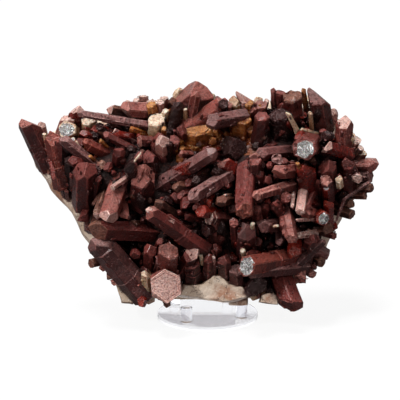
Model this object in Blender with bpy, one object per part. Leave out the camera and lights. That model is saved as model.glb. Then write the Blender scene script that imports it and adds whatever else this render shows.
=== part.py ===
"""Hematoid quartz cluster on a clear display stand, a Blender script in metres with +Z up.

Maroon, hematite-stained quartz crystals grow together from a slab of cream vein quartz, and the
slab's broken underside rests on the pegs of a round clear stand. The origin is the centre of the
stand's underside, +X is to the right as the cluster faces its observer, and -Y is towards them.
"""

import math
import random

import bmesh
import bpy
from mathutils import Matrix, Vector

MM = 0.001

# The stand: a 2.5 inch disc of 1/8 inch sheet with four pegs
DISC_DIAMETER = 63.5 * MM
DISC_THICKNESS = 3.175 * MM
DISC_EDGE = 0.4 * MM
DISC_SIDES = 48
PEG_DIAMETER = 7.3 * MM
PEG_HEIGHT = 9.5 * MM
PEG_RADIUS = 25.0 * MM
PEG_EDGE = 0.35 * MM
PEG_SIDES = 12
PEG_BEARINGS = {
    "peg_back_right": 58, "peg_back_left": 148, "peg_front_left": 238, "peg_front_right": 328,
}
GAP = 0.3 * MM
PEG_TOP = DISC_THICKNESS + GAP + PEG_HEIGHT

# The display view that the crystals are placed in, with distances in millimetres
VIEW_DISTANCE = 1100.0
VIEW_ELEVATION = math.radians(14)
VIEW_TARGET = Vector((-4.8, 0.0, 76.3)) * MM
RIGHT = Vector((1, 0, 0))
UPWARD = Vector((0, math.sin(VIEW_ELEVATION), math.cos(VIEW_ELEVATION)))
NEARER = Vector((0, -math.cos(VIEW_ELEVATION), math.sin(VIEW_ELEVATION)))

# Quartz: the angle between its length and the normal of a pyramid face, and shares of a crystal's
# width by which its apex wanders and its pyramid faces are set back
PYRAMID_ANGLE = math.radians(51.8)
TAPER = math.radians(0.7)
PRISM_UNEVEN = (0.9, 1.06)
POINT_WANDER = 0.12
CHISEL_WANDER = 0.26
LARGE_SET_BACK = (0, 0.04)
SMALL_SET_BACK = (0.08, 0.3)
SMALL_WIDTH = 9.5

# Rough ends: how far the flat across the end tilts in degrees, and the flat that takes off a corner
BROKEN_SLANT = 26
BLOCK_SLANT = 14
END_SHORT = 0.12
CORNER_SLANT = 0.7
CORNER_REACH = 0.32

# Faces of the fused solid that meet at less than this are one flat face
FLAT_ANGLE = math.radians(2)

# The underside of the cluster is broken off level, a little below the tops of the pegs
UNDERSIDE = PEG_TOP - 0.5 * MM
UNDERSIDE_STEP = 0.05 * MM

# Each crystal has its tip and root as (across, up, towards the observer) in millimetres of the
# display view, its width, how it ends, how far it is turned about its length in degrees and, where it
# matters, how the end leans to the left as it points: an apex's share of the width, or a break's
# slope in radians
CRYSTALS = [
    # Left end
    ((-109.6, 52.5, 8), (-94, 20, -10), 12.4, "chisel", 20, 0.2),
    ((-99.5, 49.2, 3), (-96, 32, -8), 6, "point", 0),
    ((-92.5, 43, 12), (-85, 8, -2), 11.5, "chisel", -20),
    ((-91, 12.5, 14), (-94, 31, 2), 3.6, "point", 0),
    ((-87.5, 39.5, 22), (-54, 11, 8), 8, "point", 10),
    ((-72, 23.5, 30), (-72.5, -4, 4), 13.5, "point", 24),
    ((-82, 52, 2), (-88, 34, -8), 9.5, "broken", 0, 0.5),
    ((-83.5, 44, 13), (-79, 40, -8), 12, "broken", 12),
    ((-76, 59.6, 3), (-80, 38, -10), 9.5, "point", -12, -0.1),
    ((-69.5, 51, 4), (-68.5, 38, -8), 10, "block", 14),
    ((-76.5, 54.6, 13), (-31, 46.2, 4), 5.8, "chisel", -8),
    ((-75.5, 41, 12), (-58, 38, 0), 6.5, "point", 10),
    ((-74.5, 36.5, 18), (-52, 26, 4), 8.5, "chisel", 0),
    ((-61, 41.5, 16), (-39, 30, 8), 5.2, "point", -10),
    ((-54.3, 43.6, 13), (-37, 34.5, 4), 5, "block", 16),
    ((-58.4, 57.5, 1), (-43, 54, -8), 6.8, "point", 12),
    ((-50.2, 56.5, 8), (-28, 55.6, -4), 10.6, "chisel", 0),
    ((-35.4, 65.6, -8), (-34, 52, -14), 6.8, "block", 0),
    ((-62, 22, 20), (-60, 18, 2), 6.4, "broken", 0),
    ((-50, 23, 20), (-50, 16, 2), 6, "broken", 18),
    ((-38.8, 36.5, 18), (-22, 35, 6), 7.2, "block", 20),
    # Cream and amber knot left of the summit
    ((-22.5, 64.5, 1), (-22, 50, -10), 5.6, "block", 10),
    ((-28, 62, 0), (-26, 46, -10), 11, "block", 0),
    ((-17, 64, 3), (-17, 50, -8), 5.4, "point", 0),
    ((-14.2, 70.6, -3), (-13, 52, -10), 6.4, "chisel", 10),
    ((-27, 51.5, 10), (-27, 36, -4), 11, "block", 8),
    ((-23.4, 39.6, 24), (-24, 18, 6), 13, "chisel", 0),
    ((-15.5, 38.5, 20), (-19, 22, 6), 7, "block", 0),
    ((-33, 30.8, 26), (-28, 8, 10), 10, "point", 20),
    ((-13.5, 29.3, 27), (3, 27, 6), 5, "chisel", 0),
    # Summit
    ((-3.2, 74.6, 6), (-4.5, 38, -8), 23, "point", 12),
    ((-2.2, 68.4, 17), (-5.5, 52, 6), 6.8, "chisel", 0),
    ((-14, 61.8, 15), (-19.5, 37, 2), 9, "chisel", 14),
    ((-11.5, 45.5, 21), (-11, 34, 6), 6.6, "point", 0),
    ((20, 61.4, 7), (-13, 41, 2), 14, "chisel", -6, -0.1),
    ((14.6, 60.4, 21), (15, 56, 4), 6, "broken", 0),
    ((-1, 48, 12), (-4, 24, -6), 21, "block", 0),
    ((4.4, 48.4, 27), (28, 51.8, 10), 9.6, "chisel", 0),
    ((9.5, 46.4, 15), (12, 36, 4), 5, "point", 0),
    ((26.5, 68.6, 8), (33, 46, -6), 10, "chisel", 26, 0.4),
    ((40.6, 61.6, 11), (27.5, 49, 0), 8, "chisel", 0),
    ((36, 64.5, 2), (38, 50, -8), 6, "point", 8),
    ((26, 52, 15), (24, 32, 0), 13, "block", 22),
    ((21, 38.5, 24), (21, 20, 4), 17, "point", 6),
    ((39, 53.4, 24), (35, 27, 8), 9.6, "block", 30),
    # Right shoulder
    ((45.8, 70, 4), (46.6, 50, -6), 4.4, "point", 0),
    ((50.2, 68, 3), (50, 52, -8), 6.4, "block", 20),
    ((57.8, 65.8, 10), (57, 46, -4), 13.6, "block", 6, 0.05),
    ((64.4, 69.8, 5), (66.5, 56, -6), 4, "point", 0),
    ((72.4, 70.2, 7), (77.5, 41, -8), 13.4, "chisel", 10, 0.34),
    ((50, 54.6, 17), (50, 34, 2), 13.4, "block", 24),
    ((54.4, 55, 24), (61, 42, 12), 3.6, "chisel", 0),
    ((69, 55, 17), (70.2, 41, -3), 2.8, "chisel", 0),
    ((62.6, 44.4, 18), (76, 40, -3), 3, "chisel", 0),
    ((83.4, 57.6, -4), (81, 42, -12), 8, "point", 0),
    ((90.6, 53, 8), (88, 18, -4), 10.8, "point", 20),
    ((94.6, 41, -2), (92, 22, -12), 8, "block", 0),
    ((101, 30.6, 0), (93, 17, -10), 8, "block", 16),
    ((65.6, 31.6, 40), (68, 36, 4), 14.6, "broken", 10),
    ((79.3, 41, 31), (78, 36, 8), 7, "point", 0),
    ((77, 33.8, 33), (93, 28, 10), 8.8, "chisel", 0),
    ((31, 26.6, 33), (61, 29.8, 12), 6.8, "point", 0),
    ((48, 26.2, 37), (49.5, 16, 12), 8, "broken", 0),
    ((47.6, 17.2, 39), (63, 18.6, 16), 9, "chisel", -6),
    ((65.5, 23.4, 35), (67.5, 2, 12), 12, "chisel", 0),
    ((79.6, 24.8, 31), (80.5, 7, 8), 11.4, "chisel", 16),
    ((91, 26.4, 21), (91, 6, 2), 12, "point", 30),
    ((112.6, 21.4, 2), (96, 22.5, -6), 11, "chisel", 10),
    ((107.6, 15.4, 1), (93, 12, -6), 8.6, "block", 0),
    ((98.2, 13.4, 25), (96, 15, 2), 7, "broken", 0),
    ((86.6, 15.6, 24), (86, 7, 10), 4.6, "point", 0),
    ((79, 12.6, 29), (80, 0, 10), 7.8, "broken", 0),
    ((73.4, 12.8, 27), (75.4, 2, 10), 4.6, "point", 0),
    ((107.6, 7.4, 8), (92, 6.5, -4), 6.6, "block", 10),
    ((104, 2.4, 6), (88, 3.5, -4), 5.6, "block", 0),
    ((90, 0.5, 15), (106, 11, 6), 2.6, "chisel", 0),
    ((95.2, -3, 6), (80, -1, -6), 6.6, "block", 24),
    ((95.6, -9.6, 5), (82, -5, -6), 6.6, "block", 8),
    ((86, -16.6, 5), (72, -14, -6), 6.4, "point", 0),
    ((84.6, -22.8, 4), (70, -18, -6), 5.6, "block", 0),
    # Centre
    ((32.8, 1.6, 43), (58, 9, 20), 7.6, "chisel", 4),
    ((45, -1, 35), (53, -11, 18), 8, "chisel", 20),
    ((53.8, 1.8, 32), (54, -4, 12), 6.6, "broken", 0),
    ((27, -8.6, 46), (29, 21, 22), 11.6, "broken", 12),
    ((35, 26, 34), (35, 2, 18), 9, "block", 22),
    ((10.6, 24.4, 31), (25, 15, 16), 10.4, "chisel", -8),
    ((10.4, 31.4, 39), (-31, 4.5, 12), 11, "chisel", -4),
    ((-7, 0.4, 45), (18, 15.4, 24), 9.8, "point", 6),
    ((-15.2, 2.6, 33), (0, 5, 18), 7.6, "chisel", 0),
    ((-34.6, -6, 45), (3, -31, 20), 11.8, "chisel", -6),
    ((-10.6, -9.2, 31), (6, -15, 16), 6.8, "chisel", 0),
    ((4.6, -11.4, 37), (20, -12, 18), 9.2, "broken", 0),
    ((15.2, 2.7, 34), (22, 3, 14), 3, "point", 0),
    ((15, -1.3, 33), (21.5, -1.3, 14), 2.6, "point", 0),
    ((7.3, -3.2, 30), (9, -2, 8), 5, "broken", 0),
    ((41.6, 14.2, 31), (43.5, 4, 16), 6.2, "point", 0),
    ((-35, 20.8, 34), (-36, -3, 14), 15, "point", 0),
    ((-36.2, 29.4, 33), (-50, 9, 16), 5.6, "chisel", 0),
    ((-55.2, 7.4, 35), (-45, 14.4, 24), 4, "block", 0),
    ((-58.6, -14.2, 41), (-49, 13, 16), 12, "chisel", 16),
    ((-64.8, -10.4, 31), (-59, 5, 12), 6.4, "block", 10),
    ((-69, -18.4, 29), (-27, -20.6, 8), 12.2, "chisel", 0),
    # Lower left
    ((-67, -23, 25), (-33.5, -60.6, 8), 16.4, "chisel", 26, 0.1),
    ((-69, -31, 17), (-58, -32, 4), 5, "point", 0),
    ((-68.8, -39.5, 16), (-57, -37, 4), 6, "block", 0),
    ((-62.4, -43.2, 16), (-54, -39, 4), 4.6, "point", 0),
    ((-58.6, -48.4, 15), (-50, -44, 4), 4.8, "point", 0),
    ((-54.2, -51.6, 14), (-46, -48, 4), 4.6, "block", 0),
    ((-35.5, -66.4, 20), (-37, -54, 4), 6.4, "point", 0),
    ((-31, -28.6, 25), (-31, -48, 4), 9, "point", 0),
    ((-19.4, -30.8, 35), (-21.4, -50, 10), 12.8, "block", 6),
    ((-3, -31, 31), (-13, -46, 12), 9.2, "chisel", 0),
    ((-21.4, -54.2, 37), (-22, -50, 4), 18.4, "block", 4),
    ((-33.6, -43.6, 23), (-32, -62, 6), 8, "chisel", 0),
    ((-20.5, -66.6, 22), (-21, -56, 6), 5, "point", 0),
    ((-4.8, -39.4, 25), (-4, -56, 6), 10.4, "block", 14),
    ((6, -33.6, 27), (5, -54, 6), 8, "point", 0),
    ((15, -34.8, 27), (16, -53, 6), 9, "chisel", 0),
    ((10.6, -27, 25), (10, -44, 6), 8, "point", 0),
    ((22.4, -43, 22), (23, -58, 6), 8.4, "block", 0),
    # Lower right
    ((28.2, -41.6, 42), (64, -35.5, 0), 14.4, "broken", 6, -0.12),
    ((27, -30, 32), (26, -42, 12), 4.4, "point", 0),
    ((78, -24.4, 15), (57, -44, 12), 6, "chisel", 0),
    ((62.6, -50.6, 13), (62, -35, 0), 8.4, "block", 0, -0.3),
    ((33.4, -60.8, 21), (39, -42, 4), 13, "chisel", 24),
    ((57.6, -67.6, 20), (47, -40, 2), 14.4, "block", -10, -0.62),
    ((31.6, -61.2, 15), (42, -57, 2), 5, "point", 0),
    ((57.4, -24.8, 38), (53.6, -4, 20), 7.6, "broken", 28),
    ((62.4, -8.2, 36), (64.8, 7, 20), 6, "block", 28),
    ((58, -5.6, 31), (58.8, 6, 20), 3.2, "point", 0),
    ((66.6, -5.4, 31), (71.5, 6, 18), 4, "point", 0),
    ((64.4, -6.6, 31), (76, -11.6, 10), 8, "chisel", 8),
    ((77.6, -11.8, 30), (73, -9, 4), 9.4, "broken", 0),
    ((80, -0.4, 24), (80, -14, 6), 7, "chisel", 0),
    ((59.8, -13, 31), (74, -11.4, 22), 2.6, "chisel", 0),
    ((21, -13.4, 38), (22.6, -28, 16), 6, "broken", 0),
    ((29, -16.6, 38), (27.6, -32, 14), 11.6, "point", 14),
    ((35.4, -4.4, 36), (36, -19, 18), 7.6, "block", 0),
    ((36.4, -16.6, 35), (54, -15, 12), 9, "point", 0),
    ((61.6, -22.4, 28), (72, -21, 12), 5, "block", 0),
    ((58.4, -35.4, 30), (60, -22, 8), 8.6, "point", 20),
    ((70, -21.4, 22), (65.6, -38, 4), 9, "chisel", 0),
    ((79.4, -33, 7), (64, -31, -8), 10.4, "chisel", 12),
    ((76.6, -39.4, 5), (64, -34, -8), 6.6, "block", 0),
    ((71, -47, 7), (59, -39, -6), 5.4, "block", 14),
    ((73, -42.8, 5), (62, -37, -6), 5, "point", 0),
    ((80.6, -17, 15), (68, -21, 2), 8, "block", 0),
]

# Each shape draws its unevenness from a seed of its own
FILL_SEED = 7
REAR_SEED = 2
SLAB_SEED = 3
SEED_STEP = 1000

# Short crystals between the long ones, scattered over the face of the slab
FILL_COUNT = 6
FILL_ACROSS = (-84, 92)
FILL_UP = (-54, 50)
FILL_WIDTH = (5.5, 9.5)
FILL_LENGTH = (15, 25)
FILL_START = -4
FILL_MARGIN = 16
FILL_SPREAD = 0.011
FILL_SCATTER = 0.4
FILL_LEAN = 0.7

# Crystals that lean away from the observer round the slab's edge, as (across, up) of their tips
REAR_ROOT_OUT = -14
REAR_TIP_OUT = -34
REAR_REACH = 0.84
REAR_CRYSTALS = [
    ((-70, 46), 8),
    ((-18, 60), 9),
    ((10, 63), 11),
    ((64, 60), 10),
    ((84, 46), 9),
    ((98, 24), 10),
    ((78, -24), 9),
    ((64, -46), 9),
    ((-58, -36), 9),
]

# Slabs of cream quartz: an outline as (across, up), then layers from front to back, each with its
# place towards the observer, how far it draws in from the outline, and how rough it is
MAIN_SLAB = [
    (-106.5, 29), (-97, 39), (-82, 46), (-66, 49), (-30, 59), (-10, 62),
    (34, 60), (56, 62), (74, 58), (88, 50), (97, 38), (104, 24), (101, 9), (93, -4),
    (84, -20), (76, -36), (64, -50), (48, -60), (30, -61.5), (14, -63), (-20, -62),
    (-38, -63.5), (-49, -62), (-57, -44), (-66, -34), (-71, -24), (-80, -8.5), (-93, 7), (-103, 20),
]
MAIN_LAYERS = [
    (20, 47, 1.5), (9, 28, 1.5), (-5, 6, 1), (-9, 1.5, 0.8), (-16, 0, 1.2), (-27, 2, 1.5), (-40, 9, 2),
]
SLAB_SPAN = 60
SLAB_LEAST = 0.35
SLAB_HUB = 0.1

# Broken faces on the slab's back: a point on each as (across, up), its depth, and how far the face
# turns to the right and upwards
BACK_FACES = [
    ((-78, 18), -24, (-0.55, 0.1)),
    ((-58, 36), -26, (-0.25, 0.5)),
    ((-8, 44), -29, (0.05, 0.62)),
    ((44, 40), -28, (0.22, 0.55)),
    ((80, 24), -24, (0.7, 0.2)),
    ((62, -20), -26, (0.5, -0.4)),
    ((-46, -26), -28, (-0.5, -0.42)),
    ((-30, 8), -35.5, (-0.16, 0.08)),
    ((28, 4), -36, (0.14, 0.05)),
]
LIP_SLAB = [
    (-15, -60), (-11, -53), (0, -52.5), (9, -45.3), (14.7, -45.3), (19, -51.7), (28.3, -54.5),
    (32.3, -60.2), (23, -63), (14.3, -64.6), (6, -62.6), (-2, -61.4),
]
LIP_LAYERS = [(17, 3.5, 0.6), (15, 0.6, 0.5), (6, 0, 0.5), (-8, 1, 0)]
REAR_FOOT_SLAB = [
    (-42, -36), (-22, -24), (12, -22), (36, -34), (42, -50), (30, -66), (0, -68), (-26, -68), (-42, -54),
]
REAR_FOOT_LAYERS = [(-12, 6, 0), (-24, 0, 1), (-34, 3, 1.5), (-42, 11, 1.5)]
TOE_SLAB = [(17, -56), (30, -56), (29.5, -66), (18, -66)]
TOE_LAYERS = [(2, 2, 0), (-1, 0, 0.3), (-12, 0, 0)]
FACET_SLAB = [(37, -64), (38.4, -59), (43.5, -57.6), (49, -60), (48, -65.6)]
FACET_LAYERS = [(16, 1.2, 0), (14, 0, 0.3), (-6, 1, 0)]
HEEL_SLAB = [(-52.5, -53), (-44, -50), (-38, -58), (-42, -64.6), (-48.6, -64.6)]
HEEL_LAYERS = [(6, 2, 0), (2, 0, 0.6), (-16, 1, 0.6)]
SLABS = [
    (MAIN_SLAB, MAIN_LAYERS), (LIP_SLAB, LIP_LAYERS), (REAR_FOOT_SLAB, REAR_FOOT_LAYERS),
    (TOE_SLAB, TOE_LAYERS), (FACET_SLAB, FACET_LAYERS), (HEEL_SLAB, HEEL_LAYERS),
]


def seen(across, up, out):
    """The point that the observer sees this far across and up, this far out towards them."""
    spread = 1 - out / VIEW_DISTANCE
    return VIEW_TARGET + MM * (spread * (across * RIGHT + up * UPWARD) + out * NEARER)


def material(name, colour, roughness, transmission=0.0):
    made = bpy.data.materials.new(name)
    made.use_nodes = True
    shader = made.node_tree.nodes["Principled BSDF"]
    shader.inputs["Base Color"].default_value = (*colour, 1)
    shader.inputs["Roughness"].default_value = roughness
    shader.inputs["Metallic"].default_value = 0
    shader.inputs["Transmission Weight"].default_value = transmission
    return made


def new_object(name, bm, finish=None):
    """Turns a bmesh into an object of the scene."""
    mesh = bpy.data.meshes.new(name)
    bmesh.ops.recalc_face_normals(bm, faces=bm.faces)
    bm.to_mesh(mesh)
    bm.free()
    made = bpy.data.objects.new(name, mesh)
    bpy.context.scene.collection.objects.link(made)
    if finish:
        mesh.materials.append(finish)
    return made


def hide_as_tool(made):
    made.hide_render = True
    made.display_type = "WIRE"


def cut_flat(bm, point, normal):
    """Cuts away what lies beyond a plane and closes the flat face that it leaves."""
    everything = bm.verts[:] + bm.edges[:] + bm.faces[:]
    cut = bmesh.ops.bisect_plane(bm, geom=everything, plane_co=point, plane_no=normal, clear_outer=True)
    rim = [part for part in cut["geom_cut"] if isinstance(part, bmesh.types.BMEdge)]
    if rim:
        bmesh.ops.edgeloop_fill(bm, edges=rim)


def slanted(bearing, slant):
    """A direction at this slant from the crystal's length, on this bearing round it."""
    across = math.sin(slant)
    return Vector((across * math.cos(bearing), across * math.sin(bearing), math.cos(slant)))


def cut_prism(bm, width, turn, dice):
    for side in range(6):
        bearing = math.radians(60 * side + turn)
        outward = slanted(bearing, math.pi / 2 - TAPER)
        reach = width / 2 * dice.uniform(*PRISM_UNEVEN)
        cut_flat(bm, outward * reach, outward)


def cut_point(bm, width, length, turn, dice, wander, lean):
    """Three large pyramid faces that meet at an apex, and three small ones set back between them."""
    aside = wander * dice.uniform(-1, 1) if lean is None else lean
    apex = Vector((aside * width, wander * width * dice.uniform(-1, 1), length))
    first = dice.choice((0, 1))
    for side in range(6):
        large = side % 2 == first
        if not large and width < SMALL_WIDTH:
            continue
        set_back = width * dice.uniform(*(LARGE_SET_BACK if large else SMALL_SET_BACK))
        outward = slanted(math.radians(60 * side + turn), PYRAMID_ANGLE)
        cut_flat(bm, apex + outward * set_back, outward)


def cut_break(bm, width, length, dice, slant, lean):
    """A rough break: one flat across the end, and one that takes off a corner."""
    first = math.radians(dice.uniform(0, 360)) if lean is None else 0
    slope = math.radians(slant * dice.uniform(0.6, 1)) if lean is None else lean
    second = first + math.radians(dice.uniform(100, 260))
    end = Vector((0, 0, length - END_SHORT * width))
    corner = slanted(second, CORNER_SLANT)
    cut_flat(bm, end, slanted(first, slope))
    cut_flat(bm, end + corner * CORNER_REACH * width, corner)


def crystal(dice, tip, root, width, end, turn, lean=None):
    """One crystal as a bmesh in millimetres, and the matrix that puts it in its place in metres."""
    tip_point = seen(*tip)
    root_point = seen(*root)
    length = (tip_point - root_point).length / MM
    bm = bmesh.new()
    bmesh.ops.create_cube(bm, size=1)
    bmesh.ops.scale(bm, vec=(2 * width, 2 * width, length), verts=bm.verts)
    bmesh.ops.translate(bm, vec=(0, 0, length / 2), verts=bm.verts)
    cut_prism(bm, width, turn, dice)
    if end == "point":
        cut_point(bm, width, length, turn, dice, POINT_WANDER, lean)
    elif end == "chisel":
        cut_point(bm, width, length, turn, dice, CHISEL_WANDER, lean)
    else:
        cut_break(bm, width, length, dice, BROKEN_SLANT if end == "broken" else BLOCK_SLANT, lean)
    along = (tip_point - root_point).normalized()
    facing = NEARER - NEARER.dot(along) * along
    if facing.length < 0.3:
        facing = UPWARD - UPWARD.dot(along) * along
    facing.normalize()
    sideways = facing.cross(along)
    place = Matrix((sideways, facing, along)).transposed().to_4x4() * MM
    place.translation = root_point
    place[3][3] = 1
    bm.transform(place)
    return bm


def add_to(whole, bm):
    """Moves the faces of one bmesh into another."""
    bmesh.ops.recalc_face_normals(bm, faces=bm.faces)
    copies = {vert: whole.verts.new(vert.co) for vert in bm.verts}
    for face in bm.faces:
        whole.faces.new([copies[vert] for vert in face.verts])
    bm.free()


def fill_crystals():
    """Tips and roots of the short crystals, leaning outwards from the middle of the slab."""
    dice = random.Random(FILL_SEED)
    found = []
    while len(found) < FILL_COUNT:
        across = dice.uniform(*FILL_ACROSS)
        up = dice.uniform(*FILL_UP)
        if not inside(across, up, MAIN_SLAB, FILL_MARGIN):
            continue
        length = dice.uniform(*FILL_LENGTH)
        aside = across * FILL_SPREAD + dice.uniform(-FILL_SCATTER, FILL_SCATTER)
        upward = up * FILL_SPREAD + dice.uniform(-FILL_SCATTER, FILL_SCATTER)
        reach = length * FILL_LEAN
        tip = (across + aside * reach, up + upward * reach, FILL_START + length)
        found.append((tip, (across, up, FILL_START), dice.uniform(*FILL_WIDTH)))
    return found


def inside(across, up, outline, margin):
    """Whether a point is in an outline, and still is when moved a margin away from its middle."""
    middle = Vector((sum(p[0] for p in outline), sum(p[1] for p in outline))) / len(outline)
    outward = Vector((across, up)) - middle
    point = Vector((across, up)) + outward.normalized() * margin
    crossings = 0
    for (x0, y0), (x1, y1) in zip(outline, outline[1:] + outline[:1]):
        if (y0 > point.y) != (y1 > point.y) and point.x < x0 + (point.y - y0) * (x1 - x0) / (y1 - y0):
            crossings += 1
    return crossings % 2 == 1


def slab(outline, layers, level, dice):
    """A closed lump: one ring of corners for each layer, bridged, with a face over each end."""
    bm = bmesh.new()
    middle = Vector((sum(p[0] for p in outline), sum(p[1] for p in outline))) / len(outline)
    rings = []
    for out, inset, rough in layers:
        ring = []
        for corner in outline:
            outward = Vector(corner) - middle
            reach = outward.length
            drawn_in = inset * min(1, reach / SLAB_SPAN + SLAB_LEAST)
            drawn = middle + outward * max(SLAB_HUB, 1 - drawn_in / reach)
            shaken = [dice.uniform(-rough, rough) for _ in range(3)]
            ring.append(bm.verts.new(seen(drawn.x + shaken[0], drawn.y + shaken[1], out + shaken[2])))
        rings.append(ring)
    for front, back in zip(rings, rings[1:]):
        for k in range(len(front)):
            following = (k + 1) % len(front)
            bm.faces.new((front[k], front[following], back[following], back[k]))
    for ring, out in ((rings[0], layers[0][0]), (rings[-1], layers[-1][0])):
        hub = bm.verts.new(seen(middle.x, middle.y, out))
        for k in range(len(ring)):
            bm.faces.new((hub, ring[k], ring[(k + 1) % len(ring)]))
    bmesh.ops.triangulate(bm, faces=bm.faces)
    cut_flat(bm, Vector((0, 0, level)), Vector((0, 0, -1)))
    return bm


def main_slab():
    """The slab that carries the rest, with broken flat faces across its back."""
    bm = slab(MAIN_SLAB, MAIN_LAYERS, UNDERSIDE, random.Random(SLAB_SEED))
    for (across, up), out, (right, upward) in BACK_FACES:
        cut_flat(bm, seen(across, up, out), (right * RIGHT + upward * UPWARD - NEARER).normalized())
    return bm


def build_stock():
    """All that grows from the main slab, as overlapping closed shapes in one tool object."""
    whole = bmesh.new()
    for number, row in enumerate(CRYSTALS):
        add_to(whole, crystal(random.Random(number), *row))
    for number, (tip, root, width) in enumerate(fill_crystals()):
        add_to(whole, crystal(random.Random(FILL_SEED * SEED_STEP + number), tip, root, width, "point", 0))
    for number, ((across, up), width) in enumerate(REAR_CRYSTALS):
        root = (across * REAR_REACH, up * REAR_REACH, REAR_ROOT_OUT)
        tip = (across, up, REAR_TIP_OUT)
        add_to(whole, crystal(random.Random(REAR_SEED * SEED_STEP + number), tip, root, width, "point", 0))
    for number, (outline, layers) in enumerate(SLABS[1:]):
        level = UNDERSIDE + (number + 1) * UNDERSIDE_STEP
        dice = random.Random(SLAB_SEED * SEED_STEP + number)
        add_to(whole, slab(outline, layers, level, dice))
    stock = new_object("crystal_stock", whole)
    hide_as_tool(stock)
    return stock


def shells_of(bm):
    """The vertices of each closed surface in the bmesh, the largest first."""
    waiting = set(bm.verts)
    shells = []
    while waiting:
        reached = [waiting.pop()]
        for vert in reached:
            for edge in vert.link_edges:
                other = edge.other_vert(vert)
                if other in waiting:
                    waiting.remove(other)
                    reached.append(other)
        shells.append(reached)
    return sorted(shells, key=len, reverse=True)


def close_hollows(made):
    """Applies the modifiers, and fills the sealed hollows that the crystals enclose between them."""
    graph = bpy.context.evaluated_depsgraph_get()
    bm = bmesh.new()
    bm.from_mesh(made.evaluated_get(graph).data)
    for shell in shells_of(bm)[1:]:
        bmesh.ops.delete(bm, geom=shell, context="VERTS")
    bmesh.ops.dissolve_limit(bm, angle_limit=FLAT_ANGLE, verts=bm.verts, edges=bm.edges)
    bmesh.ops.triangulate(bm, faces=bm.faces)
    made.modifiers.clear()
    bm.to_mesh(made.data)
    bm.free()


def build_cluster(finish, seats):
    cluster = new_object("crystal_cluster", main_slab(), finish)
    grown = cluster.modifiers.new("Crystals", "BOOLEAN")
    grown.operation = "UNION"
    grown.solver = "EXACT"
    grown.use_self = True
    grown.object = build_stock()
    rest = cluster.modifiers.new("Seats", "BOOLEAN")
    rest.operation = "DIFFERENCE"
    rest.solver = "EXACT"
    rest.object = seats
    close_hollows(cluster)


def round_piece(radius, height, sides, edge):
    """A disc or peg standing on its origin, with small bevels at both ends."""
    bm = bmesh.new()
    bmesh.ops.create_cone(
        bm, cap_ends=True, segments=sides, radius1=radius, radius2=radius, depth=height
    )
    bmesh.ops.translate(bm, vec=(0, 0, height / 2), verts=bm.verts)
    rims = [e for e in bm.edges if abs(e.verts[0].co.z - e.verts[1].co.z) < height / 2]
    if edge:
        bmesh.ops.bevel(bm, geom=rims, offset=edge, segments=1, affect="EDGES", profile=0.5)
    return bm


def peg_place(bearing, height):
    angle = math.radians(bearing)
    return Vector((PEG_RADIUS * math.cos(angle), PEG_RADIUS * math.sin(angle), height))


def build_seats():
    """The room that the pegs take from the cluster's underside, with the gap round each."""
    whole = bmesh.new()
    for bearing in PEG_BEARINGS.values():
        bm = round_piece(PEG_DIAMETER / 2 + GAP, PEG_HEIGHT + GAP, PEG_SIDES, 0)
        bmesh.ops.translate(bm, vec=peg_place(bearing, DISC_THICKNESS + GAP), verts=bm.verts)
        add_to(whole, bm)
    seats = new_object("peg_seats", whole)
    hide_as_tool(seats)
    return seats


def build_stand(finish):
    disc = new_object("stand_base", round_piece(DISC_DIAMETER / 2, DISC_THICKNESS, DISC_SIDES, DISC_EDGE), finish)
    smooth(disc)
    for name, bearing in PEG_BEARINGS.items():
        peg = new_object(name, round_piece(PEG_DIAMETER / 2, PEG_HEIGHT, PEG_SIDES, PEG_EDGE), finish)
        peg.location = peg_place(bearing, DISC_THICKNESS + GAP)
        smooth(peg)


def smooth(made):
    made.data.shade_smooth()
    made.data.set_sharp_from_angle(angle=math.radians(30))


def main():
    for old in list(bpy.data.objects):
        bpy.data.objects.remove(old, do_unlink=True)
    maroon = material("stained_quartz", (0.13, 0.035, 0.035), 0.42)
    clear = material("clear_acrylic", (0.95, 0.96, 0.97), 0.04, transmission=1.0)
    build_stand(clear)
    build_cluster(maroon, build_seats())


main()
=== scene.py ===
# %% [markdown]
# # A hematoid quartz cluster on its clear stand
#
# The specimen is a slab of cream vein quartz that maroon quartz crystals grew from. Hematite stains them, so
# the same mineral runs from near-black through brick red and rosy pink to cream. It rests on the pegs of a
# round acrylic stand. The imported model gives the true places, and the pieces here give the finish. Blender
# seeds its vector noise from the clock, so it gets a fixed seed here, and every run makes the same stone.

# %% The frame
import math
import random

import bmesh
import bpy
from mathutils import Matrix, Vector
from mathutils.bvhtree import BVHTree
from mathutils.noise import noise_vector, seed_set


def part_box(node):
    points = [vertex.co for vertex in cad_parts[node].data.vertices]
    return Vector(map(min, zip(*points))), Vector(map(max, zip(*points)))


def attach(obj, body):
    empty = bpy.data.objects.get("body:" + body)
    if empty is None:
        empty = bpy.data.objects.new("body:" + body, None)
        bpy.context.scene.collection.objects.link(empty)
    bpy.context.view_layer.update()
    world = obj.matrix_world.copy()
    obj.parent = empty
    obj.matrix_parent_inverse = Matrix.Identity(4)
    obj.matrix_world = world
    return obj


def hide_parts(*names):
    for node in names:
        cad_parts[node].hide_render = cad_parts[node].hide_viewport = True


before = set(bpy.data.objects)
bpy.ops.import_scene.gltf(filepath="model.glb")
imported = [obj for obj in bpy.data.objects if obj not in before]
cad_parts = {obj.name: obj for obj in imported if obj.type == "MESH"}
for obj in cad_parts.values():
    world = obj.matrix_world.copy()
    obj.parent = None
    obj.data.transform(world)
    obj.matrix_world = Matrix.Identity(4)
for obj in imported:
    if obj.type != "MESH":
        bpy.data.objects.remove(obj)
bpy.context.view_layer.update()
bpy.ops.object.select_all(action="DESELECT")
MM = 0.001
NOISE_SEED = 5
seed_set(NOISE_SEED)

# %% [markdown]
# ## The display view
#
# A specimen is set up to be looked at from one side. Every crystal is placed by what an observer sees
# there: how far across, how far up and how far out towards them, in millimetres. One function turns that
# into a point, and a second turns a point back.

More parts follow.
